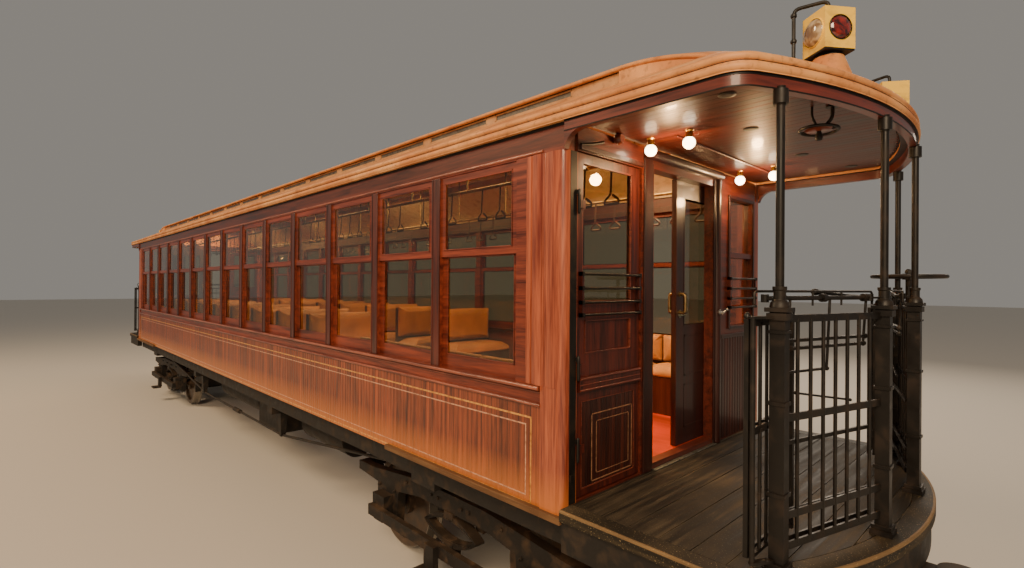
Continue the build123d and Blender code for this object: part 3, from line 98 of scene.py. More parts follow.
@dataclass(frozen=True)
class Sizes:
    """Main sizes of the carriage, as its solids have them."""

    half_length: float = 6.284
    half_width: float = 1.3
    inner: float = 1.23
    side_reach: float = 6.114
    floor: float = 1.23
    sill: float = 1.155
    belt_bottom: float = 1.74
    belt: float = 1.86
    head: float = 3.16
    eave: float = 3.31
    fascia_top: float = 3.355
    deck: float = 3.65
    deck_top: float = 3.72
    roof_half: float = 1.33
    deck_half: float = 0.8
    upper_half: float = 0.82
    hood_reach: float = 1.29
    platform_reach: float = 1.38
    platform_half: float = 1.34
    platform_radius: float = 2.34
    hood_radius: float = 2.7
    hood_corner: float = 0.16
    valance_inset: float = 0.012
    platform_corner: float = 0.13
    pitch: float = 0.85
    windows: int = 14
    window_width: float = 0.758
    bogie_centre: float = 4.85
    half_base: float = 0.915
    axle_z: float = 0.448
    guards: tuple[float, ...] = (1.03, 1.1, 1.18, 1.26)
    hinges: tuple[float, ...] = (0.28, 0.73, 1.65)

    def window_places(self) -> np.ndarray:
        """X of the middle of each window."""
        return (np.arange(self.windows) - (self.windows - 1) / 2) * self.pitch


CAR = Sizes()


@dataclass(frozen=True)
class End:
    """One end of the carriage."""

    name: str
    sign: int

    def place(self, points: np.ndarray) -> np.ndarray:
        """Turn local points of this end into the carriage's frame.

        Args:
            points: Array whose last axis is local x, y, z.

        Returns:
            The same points in the carriage's frame: x counted out of the bulkhead, half turned at
            the rear.
        """
        points = np.asarray(points, float)
        x = self.sign * (CAR.half_length + points[..., 0])
        return spread(x, self.sign * points[..., 1], points[..., 2])


FRONT = End("front", 1)
REAR = End("rear", -1)
ENDS = (FRONT, REAR)
SIDES = {"left": 1, "right": -1}


def srgb(code: str) -> Box:
    """Turn a hex colour into Blender's linear colour.

    Args:
        code: Six hex digits after a hash sign.

    Returns:
        Red, green, blue and alpha.
    """
    parts = [int(code[i : i + 2], 16) / 255 for i in (1, 3, 5)]
    linear = [c / 12.92 if c <= 0.04045 else ((c + 0.055) / 1.055) ** 2.4 for c in parts]
    return (*linear, 1.0)


def add_node(
    tree: bpy.types.NodeTree, kind: str, inputs: dict | None = None, **settings: object
) -> bpy.types.Node:
    """Add a shader node, set its options and fill its sockets.

    Args:
        tree: Node tree of the material.
        kind: Blender's name of the node type, without its first words.
        inputs: Socket name or number to a value, or to the socket that feeds it.
        **settings: Attributes of the node itself.

    Returns:
        The node.
    """
    node = tree.nodes.new("ShaderNode" + kind)
    for name, value in settings.items():
        setattr(node, name, value)
    for key, value in (inputs or {}).items():
        if isinstance(value, Socket):
            tree.links.new(value, node.inputs[key])
        else:
            node.inputs[key].default_value = srgb(value) if isinstance(value, str) else value
    return node


class Paint:
    """Short ways to wire one material's nodes. A hex colour stands for its linear colour."""

    def __init__(self, tree: bpy.types.NodeTree) -> None:
        """Start from the object's own coordinates."""
        self.tree = tree
        self.coords = self.out("TexCoord", output="Object")

    def out(self, kind: str, inputs: dict | None = None, output: int | str = 0,
            **settings: object) -> Socket:
        """One output of a new node."""
        return add_node(self.tree, kind, inputs, **settings).outputs[output]

    def noise(self, scale: float, detail: float = 4, warp: float = 0, stretch: Triple = (1, 1, 1)) -> Socket:
        """Noise from 0 to 1 on coordinates scaled by three factors."""
        place = self.out("Mapping", {"Vector": self.coords, "Scale": stretch})
        return self.out("TexNoise", {"Vector": place, "Scale": scale, "Detail": detail, "Distortion": warp})

    def ramp(self, factor: Socket, low: float, high: float, low_to: float = 0,
             high_to: float = 1) -> Socket:
        """Map a value's range to another, clamped."""
        ranges = {"From Min": low, "From Max": high, "To Min": low_to, "To Max": high_to}
        return self.out("MapRange", {"Value": factor, **ranges})

    def mix(self, factor: Socket, first: object, second: object) -> Socket:
        """Mix two colours."""
        return self.out("Mix", {0: factor, 6: first, 7: second}, 2, data_type="RGBA")

    def math(self, operation: str, first: object, second: object = 0.0) -> Socket:
        """One arithmetic step."""
        return self.out("Math", {0: first, 1: second}, operation=operation)

    def blend(self, first: Socket, second: Socket, share: float) -> Socket:
        """Sum of two values, the second with its share and the first with the rest."""
        return self.math("ADD", self.math("MULTIPLY", first, 1 - share), self.math("MULTIPLY", second, share))

    def axis(self, name: str) -> Socket:
        """One of the object's coordinates."""
        return self.out("SeparateXYZ", {0: self.coords}, name)

    def facing(self, name: str) -> Socket:
        """One component of the surface's normal."""
        return self.out("SeparateXYZ", {0: self.out("NewGeometry", output="Normal")}, name)

    def scaled(self, colour: Socket, amount: Socket) -> Socket:
        """A colour made lighter or darker."""
        return self.out("VectorMath", {0: colour, "Scale": amount}, operation="SCALE")

    def bump(self, height: Socket, strength: float, depth: float) -> Socket:
        """Normal of a small relief."""
        return self.out("Bump", {"Height": height, "Strength": strength, "Distance": depth})


@dataclass(frozen=True)
class Finish:
    """A finish that makes its material once."""

    name: str

    def wire(self, paint: Paint) -> dict:
        """Make the nodes.

        Args:
            paint: The material's wiring.

        Returns:
            Socket name of the surface shader to its value or source.
        """
        raise NotImplementedError

    def material(self) -> bpy.types.Material:
        """The finish as a material.

        Returns:
            The material, made at the first call.
        """
        made = bpy.data.materials.get(self.name)
        if made:
            return made
        made = bpy.data.materials.new(self.name)
        made.use_nodes = True
        tree = made.node_tree
        tree.nodes.clear()
        shader = add_node(tree, "BsdfPrincipled", self.wire(Paint(tree)))
        add_node(tree, "OutputMaterial", {"Surface": shader.outputs[0]})
        return made


@dataclass(frozen=True)
class Varnish(Finish):
    """Varnished mahogany: streaked grain, boards that differ a little and a thick clear coat."""

    dark: str = "#3A130B"
    light: str = "#7E3A24"
    grain: Grain = Grain.ALONG
    boards: BoardRun = BoardRun.NONE
    board_pitch: float = 0.0475
    coat: float = 0.4
    tone_spread: float = 0.16
    seam: float = 0.0
    specular: float = 0.5
    # glow is a painted reflection: a warm tint mixed into the wood low on the wall, fading out glow_rise
    # above the sill.
    glow: str = ""
    glow_rise: float = 0.26
    dark_above: float = 0.0

    def wire(self, paint: Paint) -> dict:
        """Grain noise stretched along the boards, board tone from white noise, gloss from grain."""
        broad = paint.noise(1.0, 5, 0.9, stretch=self.grain.value)
        fine = paint.noise(5.0, 6, 0.3, stretch=self.grain.value)
        streak = paint.blend(broad, fine, 0.35)
        colour = paint.mix(paint.ramp(streak, 0.36, 0.64), self.dark, self.light)
        if self.boards is not BoardRun.NONE:
            place = paint.math("FLOOR", paint.math("DIVIDE", paint.axis(self.boards.value), self.board_pitch))
            tone = paint.out("TexWhiteNoise", {"W": place}, noise_dimensions="1D")
            colour = paint.scaled(colour, paint.ramp(tone, 0, 1, 1 - self.tone_spread, 1 + self.tone_spread))
            if self.seam:
                near = paint.math("PINGPONG", paint.axis(self.boards.value), self.board_pitch / 2)
                colour = paint.scaled(colour, paint.ramp(near, 0.001, 0.006, 1 - self.seam, 1))
        cloud = paint.noise(0.9, 3)
        colour = paint.scaled(colour, paint.ramp(cloud, 0.3, 0.7, 0.86, 1.1))
        # Painted reflection: a warm tint mixed into the colour near the sill, fading upward.
        if self.glow:
            low = paint.ramp(paint.axis("Z"), CAR.sill, CAR.sill + self.glow_rise, 0.75, 0.0)
            colour = paint.mix(low, colour, self.glow)
        if self.dark_above:
            shade = paint.ramp(paint.axis("Z"), self.dark_above, self.dark_above + 0.03, 1.0, 0.45)
            colour = paint.scaled(colour, shade)
        return {
            "Base Color": colour,
            "Roughness": paint.ramp(streak, 0.3, 0.7, 0.34, 0.5),
            "Specular IOR Level": self.specular,
            "Coat Weight": self.coat,
            "Coat Roughness": 0.1,
            "Normal": paint.bump(streak, 0.25, 0.0006),
        }


@dataclass(frozen=True)
class Canvas(Finish):
    """Painted roof canvas: fine weave, brush marks, and dirt that has run down."""

    base: str = "#B86E36"
    light: str = "#E0A466"
    dirt: str = "#6E4228"
    under: str = ""

    def wire(self, paint: Paint) -> dict:
        """Clouds of two tones, streaks of dirt and a weave in the relief."""
        cloud = paint.noise(3.4, 5, 0.2)
        colour = paint.mix(paint.ramp(cloud, 0.28, 0.72), self.base, self.light)
        runs = paint.noise(1.0, 6, stretch=(5, 5, 3))
        specks = paint.noise(30, 6, 0.4)
        colour = paint.mix(paint.ramp(runs, 0.5, 0.78, 0, 0.45), colour, self.dirt)
        colour = paint.mix(paint.ramp(specks, 0.55, 0.72, 0, 0.5), colour, self.dirt)
        if self.under:
            colour = paint.mix(paint.ramp(paint.facing("Z"), -0.6, -0.9), colour, self.under)
        weave = paint.noise(420, 2)
        height = paint.blend(cloud, weave, 0.4)
        return {
            "Base Color": colour,
            "Roughness": paint.ramp(runs, 0.3, 0.7, 0.48, 0.7),
            "Normal": paint.bump(height, 0.3, 0.0012),
        }


@dataclass(frozen=True)
class Iron(Finish):
    """Painted iron: deep black with brown dust on top and rubbed patches."""

    base: str = "#12100F"
    dust: str = "#4A3626"
    amount: float = 0.35
    gloss: float = 0.34

    def wire(self, paint: Paint) -> dict:
        """Dust where the surface faces up and in patches of noise."""
        patch = paint.noise(9, 6, 0.5)
        top = paint.ramp(paint.facing("Z"), 0.3, 1.0, 0.0, 0.7)
        wear = paint.math("ADD", paint.ramp(patch, 0.5, 0.8), paint.math("MULTIPLY", top, patch))
        colour = paint.mix(paint.math("MULTIPLY", wear, self.amount), self.base, self.dust)
        return {
            "Base Color": colour,
            "Roughness": paint.ramp(patch, 0.3, 0.75, self.gloss, self.gloss + 0.28),
            "Specular IOR Level": 0.35,
            "Normal": paint.bump(paint.noise(70), 0.2, 0.0006),
        }


@dataclass(frozen=True)
class Planking(Finish):
    """Worn painted planks: near black, rubbed grey along the grain, with grit."""

    base: str = "#141312"
    worn: str = "#5C564C"
    grit: str = "#A79F8E"
    grit_amount: float = 0.25
    grain: Grain = Grain.ACROSS

    def wire(self, paint: Paint) -> dict:
        """Streaks of wear along the planks, patches of traffic and bright grit."""
        streak = paint.noise(1.2, 6, 0.4, stretch=self.grain.value)
        traffic = paint.noise(2.4)
        wear = paint.math("MULTIPLY", paint.ramp(streak, 0.42, 0.72), paint.ramp(traffic, 0.35, 0.68))
        colour = paint.mix(wear, self.base, self.worn)
        speck = paint.ramp(paint.noise(130, 2), 0.64, 0.7, 0, self.grit_amount)
        colour = paint.mix(speck, colour, self.grit)
        return {
            "Base Color": colour,
            "Roughness": paint.ramp(streak, 0.3, 0.7, 0.5, 0.75),
            "Specular IOR Level": 0.25,
            "Normal": paint.bump(streak, 0.45, 0.0015),
        }


@dataclass(frozen=True)
class FloorPaint(Finish):
    """Glossy red floor paint, scuffed to brown where people walk."""

    base: str = "#C83E12"
    scuff: str = "#842812"

    def wire(self, paint: Paint) -> dict:
        """Scuffs from broad noise, boards in the relief."""
        scuffs = paint.noise(1.6, 5, 0.5, stretch=(0.6, 2.2, 1))
        boards = paint.math("PINGPONG", paint.axis("Y"), 0.045)
        return {
            "Base Color": paint.mix(paint.ramp(scuffs, 0.4, 0.7), self.base, self.scuff),
            "Roughness": paint.ramp(scuffs, 0.3, 0.7, 0.3, 0.5),
            "Coat Weight": 0.12,
            "Coat Roughness": 0.15,
            "Normal": paint.bump(paint.ramp(boards, 0, 0.003), 0.6, 0.002),
        }


@dataclass(frozen=True)
class Cane(Finish):
    """Woven cane: strands over and under each other, varnished and darkened by use."""

    base: str = "#E6A458"
    shade: str = "#A3672C"
    pitch: float = 0.0075

    def wire(self, paint: Paint) -> dict:
        """Product of two sines across the weave, on the piece's own coordinates."""
        turn = 2 * math.pi / self.pitch
        along = paint.math("SINE", paint.math("MULTIPLY", paint.axis("X"), turn))
        level = paint.math("ADD", paint.axis("Y"), paint.axis("Z"))
        across = paint.math("SINE", paint.math("MULTIPLY", level, turn))
        weave = paint.ramp(paint.math("MULTIPLY", along, across), -0.6, 0.7)
        use = paint.noise(5)
        colour = paint.mix(weave, self.shade, self.base)
        return {
            "Base Color": paint.scaled(colour, paint.ramp(use, 0.3, 0.7, 0.72, 1.12)),
            "Roughness": paint.ramp(weave, 0, 1, 0.62, 0.4),
            "Sheen Weight": 0.15,
            "Normal": paint.bump(weave, 0.6, 0.0012),
        }


@dataclass(frozen=True)
class Glazing(Finish):
    """Old window glass: clear, faintly amber, with thin dust and slight waves."""

    tint: str = "#BDB49C"

    def wire(self, paint: Paint) -> dict:
        """Thin dust from noise on the roughness, slight waves in the relief."""
        dust = paint.noise(1.8)
        waves = paint.noise(3.0, 1, stretch=(1, 1, 0.35))
        return {
            "Base Color": self.tint,
            "Roughness": paint.ramp(dust, 0.4, 0.75, 0.0, 0.03),
            "Transmission Weight": 1.0,
            "IOR": 1.46,
            "Normal": paint.bump(waves, 0.08, 0.002),
        }


@dataclass(frozen=True)
class Patchy(Finish):
    """Smooth finish broken by soft patches of a second tone: bare metal, gold leaf, enamel, and opaque lenses
    whose lighter patches are painted reflections.
    """

    base: str
    dull_and_lens_reflection: str
    scale: float
    detail: float
    warp: float
    edge: Pair
    rough_edge: Pair
    rough: Pair
    metallic: float = 0.0
    coat: float = 0.0
    stretch: Triple = (1, 1, 1)
    relief: float = 0.0

    def wire(self, paint: Paint) -> dict:
        """Patches of the second tone where noise is high, which change the gloss too."""
        patch = paint.noise(self.scale, self.detail, self.warp, self.stretch)
        inputs = {
            "Base Color": paint.mix(paint.ramp(patch, *self.edge), self.base, self.dull_and_lens_reflection),
            "Metallic": self.metallic,
            "Roughness": paint.ramp(patch, *self.rough_edge, *self.rough),
            "Coat Weight": self.coat,
        }
        if self.relief:
            inputs["Normal"] = paint.bump(patch, self.relief, 0.001)
        return inputs


@dataclass(frozen=True)
class Glow(Finish):
    """Lit lamp glass."""

    colour: str = "#FFD9A0"
    power: float = 14.0

    def wire(self, paint: Paint) -> dict:
        """A slightly uneven glow."""
        uneven = paint.noise(18, 2)
        return {
            "Base Color": self.colour,
            "Emission Color": paint.mix(paint.ramp(uneven, 0.3, 0.7), self.colour, "#FFF3DC"),
            "Emission Strength": self.power,
            "Roughness": 0.3,
        }


@dataclass(frozen=True)
class Tread(Finish):
    """Wheel steel: polished where it rolls, brown and dusty on the web and the axle."""

    axle_x: float = 0.0
    edge: Pair = (0.405, 0.415)

    def wire(self, paint: Paint) -> dict:
        """Distance from the axle decides between bright tread and brown web."""
        across = paint.math("SUBTRACT", paint.axis("X"), self.axle_x)
        rise = paint.math("SUBTRACT", paint.axis("Z"), CAR.axle_z)
        square = paint.math("ADD", paint.math("MULTIPLY", across, across), paint.math("MULTIPLY", rise, rise))
        radius = paint.math("SQRT", square)
        patch = paint.noise(12, 5)
        bright = paint.ramp(radius, *self.edge)
        web = paint.mix(paint.ramp(patch, 0.35, 0.7), "#2A211B", "#5A4534")
        return {
            "Base Color": paint.mix(bright, web, "#8E8880"),
            "Metallic": bright,
            "Roughness": paint.ramp(patch, 0.3, 0.7, 0.3, 0.6),
        }


# The side boarding carries a warm painted reflection low on the wall.
BOARDED = Varnish("varnish_boarding", "#4C1C0E", "#9E4C28", Grain.UPRIGHT, BoardRun.BY_X,
                  tone_spread=0.22, seam=0.55, glow="#C8742A")
SHEETED = Varnish("varnish_framing", "#43130B", "#8A3A22", Grain.ALONG, coat=0.2, dark_above=CAR.head + 0.012)
# Corner boards: a warm painted reflection low down, and a light tone raised to stand partly for painted
# highlights on the flutes.
STANDING = Varnish("varnish_posts", "#6A2416", "#B6603E", Grain.UPRIGHT, glow="#C8742A")
CROSSWISE = Varnish("varnish_ends", "#30100A", "#6A2A1A", Grain.ACROSS)
VALANCE = Varnish("varnish_valance", "#3A110A", "#6E2A1B", Grain.LEVEL, coat=0.3)
END_BOARDED = Varnish("varnish_end_boarding", "#220A06", "#4C1F12", Grain.UPRIGHT, BoardRun.BY_Y, coat=0.2,
                      tone_spread=0.25, seam=0.6)
CEILING_WOOD = Varnish(
    "varnish_ceiling", "#280C06", "#542013", Grain.ALONG, BoardRun.BY_Y, 0.062, coat=0.12, specular=0.2
)
POST_WOOD = Varnish("varnish_window_posts", "#270C07", "#5C2114", Grain.UPRIGHT)
DARK_WOOD = Varnish("varnish_door", "#190705", "#3C170F", Grain.UPRIGHT, coat=0.25)
DOOR_WOOD = Varnish("varnish_cab_door", "#260A06", "#5E2114", Grain.UPRIGHT, coat=0.25)
# Lighter varnish of the belt mouldings: painted highlight on their rounded faces.
MOULDING_HIGHLIGHT = Varnish("varnish_mouldings", "#5A2216", "#A4583E", Grain.LEVEL)
# Door mouldings and ceiling conduit in a tone lighter than the wood round them: partly painted highlight on
# their edges.
DOOR_MOULDING_HIGHLIGHT = Varnish("varnish_door_mouldings", "#3E160E", "#7E3A28", Grain.LEVEL)
INTERIOR_WOOD = Varnish("varnish_seats", "#240E08", "#4C2214", Grain.UPRIGHT)
ROOF = Canvas("canvas_roof")
HOOD = Canvas("canvas_hood", under="#2A0D07")
DECK_SIDE = Canvas("canvas_deck_side", "#9C6A40", "#C99862")
IRON = Iron("iron_gates", "#14110F", "#4E3C2E", 0.35)
FRAME_IRON = Iron("iron_frame", "#1A1715", "#4D3D2E", 0.7, 0.5)
BOGIE_IRON = Iron("iron_bogie", "#1C1815", "#54402E", 0.85, 0.52)
# Black strips that paint the shadow in the roof's crevices.
SHADOW_BLACK = Iron("paint_black", "#0D0B0A", "#2E221A", 0.4, 0.42)
PLANKS = Planking("planks_platform", "#1A1611", "#584C3C", "#948870", 0.25)
EDGE_GRIT = Planking("planks_edge", "#1F1B15", "#5C4E3A", "#A8946E", 0.6, Grain.LEVEL)
NOSING = Planking("planks_nosing", "#6A5439", "#A4855C", "#C9B083", 0.3, Grain.LEVEL)
SEAMS = Planking("planks_seams", "#4A4236", "#8A7E68", "#B5A88F", 0.4)
LEDGE_WOOD = Planking("planks_ledge", "#5E412A", "#94704C", "#B89A78", 0.15, Grain.ALONG)
RED_FLOOR = FloorPaint("paint_floor")
CANE = Cane("cane_seats")
GLASS = Glazing("glass_windows")
# Scale, detail and warp of the patches, their edge, how the gloss follows them, and coats.
LENS = (24, 3, 0.6, (0.4, 0.66), (0.3, 0.7), (0.12, 0.12), 0.0, 1.0)
# Opaque lenses: their lighter patches are painted reflections.
RED_LENS = Patchy("glass_lens_red", "#2A0504", "#8E2216", *LENS)
CLEAR_LENS = Patchy("glass_lens_clear", "#7A5E40", "#C0AA86", *LENS)
METAL = (24, 5, 0.4, (0.45, 0.75), (0.3, 0.75))
BRASS = Patchy("metal_brass", "#B0863E", "#5E4520", *METAL, (0.2, 0.5), 1.0)
DULL_BRASS = Patchy("metal_door_pull", "#94805A", "#5A4A32", *METAL, (0.3, 0.6), 1.0)
STEEL = Patchy("metal_steel", "#8E9086", "#565A52", *METAL, (0.35, 0.65), 1.0)
BRIGHT_METAL = Patchy("metal_nickel", "#D8D4CC", "#8E8A82", *METAL, (0.15, 0.45), 1.0)
LEAF = (30, 5, 0, (0.45, 0.7), (0.3, 0.7), (0.25, 0.45), 0.25, 0.5)
GOLD = Patchy("gold_line", "#D89A4A", "#9C6430", *LEAF)
ROSE_GOLD = Patchy("gold_line_inner", "#CF9A7C", "#9A6A50", *LEAF)
DULL_GOLD = Patchy("gold_line_door", "#A87A5C", "#6E4A36", *LEAF)
ENAMEL = (11, 5, 0.3, (0.5, 0.82), (0.3, 0.7), (0.3, 0.5), 0.0, 0.0, (1, 1, 1.6), 0.12)
YELLOW = Patchy("enamel_lamp", "#F2C648", "#A8843C", *ENAMEL)
CREAM = Patchy("enamel_ceiling", "#D8C8A2", "#A6946C", *ENAMEL)
BULB = Glow("glow_bulb")
DECK_GLASS = Iron("glass_deck_lights", "#544C42", "#7A7062", 0.5, 0.18)


def spread(x: object, y: object, z: object) -> np.ndarray:
    """Points from three coordinates, each an array or one number."""
    return np.stack(np.broadcast_arrays(x, y, z), -1)


def unit(vectors: np.ndarray) -> np.ndarray:
    """Vectors of length 1 in the same directions."""
    return vectors / np.linalg.norm(vectors, axis=-1, keepdims=True)


def border(low: float, high: float, bottom: float, top: float, rail: float,
           stile: float = 0.0) -> list[Box]:
    """Four strips just inside a rectangle.

    Args:
        low: Start of the rectangle along its width.
        high: End of it.
        bottom: Lower edge.
        top: Upper edge.
        rail: Height of the lower and upper strips.
        stile: Width of the upright strips, the rail's height if 0.

    Returns:
        Start, end, bottom and top of each strip.
    """
    stile = stile or rail
    return [(low, high, bottom, bottom + rail), (low, high, top - rail, top),
            (low, low + stile, bottom, top), (high - stile, high, bottom, top)]


def rounded(points: Sequence[Sequence[float]], radius: float, steps: int = 6) -> np.ndarray:
    """Round the corners of a run of straight lines.

    Each corner becomes a quadratic curve between the points that lie a radius from it on both its
    lines: (1-t)^2 of the first, 2t(1-t) of the corner and t^2 of the last.

    Args:
        points: Corners of the run, in order.
        radius: Distance from a corner at which its curve starts.
        steps: Points on each curve.

    Returns:
        Points along the rounded run.
    """
    corners = np.asarray(points, float)
    middle = corners[1:-1]
    ends = []
    for other in (corners[:-2], corners[2:]):
        line = other - middle
        ends.append((line, np.linalg.norm(line, axis=1, keepdims=True)))
    reach = np.minimum(radius, 0.49 * np.minimum(ends[0][1], ends[1][1]))
    start, stop = (middle + line / length * reach for line, length in ends)
    t = np.linspace(0, 1, steps)[None, :, None]
    curve = (1 - t) ** 2 * start[:, None] + 2 * t * (1 - t) * middle[:, None] + t**2 * stop[:, None]
    return np.concatenate([corners[:1], curve.reshape(-1, 3), corners[-1:]])


def clean_mesh(name: str, points: np.ndarray, faces: Iterable[Sequence[int]]) -> bpy.types.Mesh:
    """Make a mesh whose doubles are merged and whose faces point outward.

    Args:
        name: Name of the mesh.
        points: Array of points.
        faces: Numbers of each face's points.

    Returns:
        The mesh.
    """
    mesh = bpy.data.meshes.new(name)
    mesh.from_pydata(points.tolist(), [], faces)
    work = bmesh.new()
    work.from_mesh(mesh)
    bmesh.ops.remove_doubles(work, verts=work.verts, dist=1e-6)
    bmesh.ops.recalc_face_normals(work, faces=work.faces)
    work.to_mesh(mesh)
    work.free()
    return mesh


class Former:
    """Gathers closed shells of one piece, each worked out as whole arrays."""

    def __init__(self, lift: float = 0.0) -> None:
        """Start with no shell. Heights are counted from the lift.

        Args:
            lift: Height added to every point.
        """
        self.lift = np.array([0, 0, lift])
        self.points: list[np.ndarray] = []
        self.faces: list[list[int]] = []
        self.count = 0

    def shell(self, points: np.ndarray, faces: Iterable[Sequence[int]]) -> "Former":
        """Add points and the faces that join them.

        Args:
            points: Array of points.
            faces: Numbers of each face's points.

        Returns:
            This former.
        """
        points = np.asarray(points, float).reshape(-1, 3) + self.lift
        self.points.append(points)
        start = self.count
        self.faces.extend([[index + start for index in face] for face in faces])
        self.count += len(points)
        return self

    def lattice(self, points: np.ndarray, wrap_rows: bool = False, wrap_columns: bool = False) -> "Former":
        """Add a surface given by a grid of points, row by row.

        Neighbouring rows and columns make quads. A wrapped direction joins its last line to its
        first, and with columns wrapped and rows open the two end rows are closed by a face each.

        Args:
            points: Array of rows, columns and 3.
            wrap_rows: Join the last row to the first.
            wrap_columns: Join the last column to the first.

        Returns:
            This former.
        """
        rows, columns = points.shape[:2]
        row = np.arange(rows if wrap_rows else rows - 1)
        column = np.arange(columns if wrap_columns else columns - 1)
        r, c = np.meshgrid(row, column, indexing="ij")
        r2, c2 = (r + 1) % rows, (c + 1) % columns
        quads = np.stack([r * columns + c, r * columns + c2, r2 * columns + c2, r2 * columns + c], -1)
        faces = quads.reshape(-1, 4).tolist()
        if wrap_columns and not wrap_rows:
            faces.append(list(range(columns - 1, -1, -1)))
            faces.append(list(range((rows - 1) * columns, rows * columns)))
        return self.shell(points, faces)

    def loft(self, lines: Sequence[np.ndarray]) -> "Former":
        """Add a bar whose section is given by the lines that run along it, in order round it."""
        return self.lattice(np.stack(lines, 1), False, True)

    def blocks(self, lows: np.ndarray, highs: np.ndarray) -> "Former":
        """Add straight members given by their lowest and highest corners.

        Args:
            lows: One corner of each.
            highs: Its opposite corner.

        Returns:
            This former.
        """
        lows = np.asarray(lows, float).reshape(-1, 3)
        highs = np.asarray(highs, float).reshape(-1, 3)
        low, high = np.minimum(lows, highs), np.maximum(lows, highs)
        pick = np.array([[x, y, z] for x in (0, 1) for y in (0, 1) for z in (0, 1)], float)
        points = low[:, None] + (high - low)[:, None] * pick[None]
        quads = np.array([[0, 1, 3, 2], [4, 6, 7, 5], [0, 4, 5, 1], [2, 3, 7, 6], [0, 2, 6, 4], [1, 5, 7, 3]])
        faces = (quads[None] + 8 * np.arange(len(low))[:, None, None]).reshape(-1, 4)
        return self.shell(points, faces.tolist())

    def tube(self, path: np.ndarray, radius: float | np.ndarray, sides: int = 10,
             closed: bool = False, aspect: float = 1.0) -> "Former":
        """Add a round bar along a path.

        A ring of points stands across the path's direction at each of its points: its two axes are
        the direction crossed with the reference that it is least along, and the direction crossed
        with that.

        Args:
            path: Points of the middle line.
            radius: Radius, or one for each point.
            sides: Sides of the ring.
            closed: The path is a loop.
            aspect: Second axis of the ring over the first.

        Returns:
            This former.
        """
        path = np.asarray(path, float)
        if closed:
            ahead = unit(np.roll(path, -1, 0) - np.roll(path, 1, 0))
        else:
            ahead = unit(np.gradient(path, axis=0))
        reference = np.eye(3)[np.argmin(np.abs(ahead).max(0))]
        first = unit(np.cross(ahead, reference))
        second = np.cross(ahead, first)
        turn = np.linspace(0, 2 * math.pi, sides, endpoint=False)
        size = np.broadcast_to(np.asarray(radius, float), len(path))[:, None, None]
        ring = (
            first[:, None] * np.cos(turn)[None, :, None]
            + second[:, None] * np.sin(turn)[None, :, None] * aspect
        )
        return self.lattice(path[:, None] + ring * size, closed, True)

    def turned(self, profile: Sequence[Pair], foot: Sequence[float],
               axis: Sequence[float] = (0, 0, 1), sides: int = 20) -> "Former":
        """Add a turned shape: a profile of radius and rise carried round an axis.

        Args:
            profile: Pairs of radius and rise along the axis.
            foot: Point on the axis where the rise is 0.
            axis: Direction of the axis.
            sides: Steps round it.

        Returns:
            This former.
        """
        shape = np.asarray(profile, float)
        line = unit(np.asarray(axis, float))
        reference = np.eye(3)[np.argmin(np.abs(line))]
        first = unit(np.cross(line, reference))
        second = np.cross(line, first)
        turn = np.linspace(0, 2 * math.pi, sides, endpoint=False)
        around = np.cos(turn)[:, None] * first + np.sin(turn)[:, None] * second
        points = (
            np.asarray(foot, float)
            + shape[:, 0, None, None] * around[None]
            + shape[:, 1, None, None] * line
        )
        return self.lattice(points, False, True)

    def moulding(self, path: np.ndarray, outward: np.ndarray, profile: Sequence[Pair],
                 closed: bool = False) -> "Former":
        """Carry a profile along a level path.

        Each profile point moves from the path by its first number along the outward direction and
        by its second number up.

        Args:
            path: Points of the path.
            outward: Outward direction at each point, or one for all.
            profile: Pairs of outward and upward steps, in order round the section.
            closed: The path is a loop.

        Returns:
            This former.
        """
        shape = np.asarray(profile, float)
        path = np.asarray(path, float)
        outward = np.broadcast_to(np.asarray(outward, float), path.shape)
        points = (
            path[:, None]
            + outward[:, None] * shape[None, :, 0, None]
            + np.array([0, 0, 1.0]) * shape[None, :, 1, None]
        )
        return self.lattice(points, closed, True)

    def moved(self, end: End) -> "Former":
        """Turn everything gathered so far from an end's local places into the carriage's frame."""
        self.points = [end.place(part) for part in self.points]
        return self

    def at_end(self, end: End, name: str, *how: object, **more: object) -> bpy.types.Object:
        """Turn it into the carriage's frame and finish it as that end's piece of this name."""
        return self.moved(end).finish(f"{name}_{end.name}", *how, **more)

    def finish(self, name: str, finish: Finish, slot: str = "mahogany", smooth: float = 40.0,
               bevel: float = 0.0, body: str = "body") -> bpy.types.Object:
        """Make the piece.

        Args:
            name: Name of the piece.
            finish: Its finish.
            slot: Material slot of the record that it belongs to; not used.
            smooth: Angle in degrees below which neighbouring faces are shaded as one surface.
            bevel: Width of the bevel on its edges, 0 for none.
            body: Body that it rides on.

        Returns:
            The piece's object.
        """
        mesh = clean_mesh(name, np.concatenate(self.points), self.faces)
        mesh.polygons.foreach_set("use_smooth", np.ones(len(mesh.polygons), bool))
        mesh.set_sharp_from_angle(angle=math.radians(smooth))
        piece = bpy.data.objects.new(name, mesh)
        bpy.context.scene.collection.objects.link(piece)
        mesh.materials.append(finish.material())
        if bevel:
            edge = piece.modifiers.new("edges", "BEVEL")
            edge.width = bevel
            edge.segments = 2
            edge.limit_method = "ANGLE"
            edge.harden_normals = True
        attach(piece, body)
        LOG.info("%s: %d faces on %s", name, len(mesh.polygons), body)
        return piece


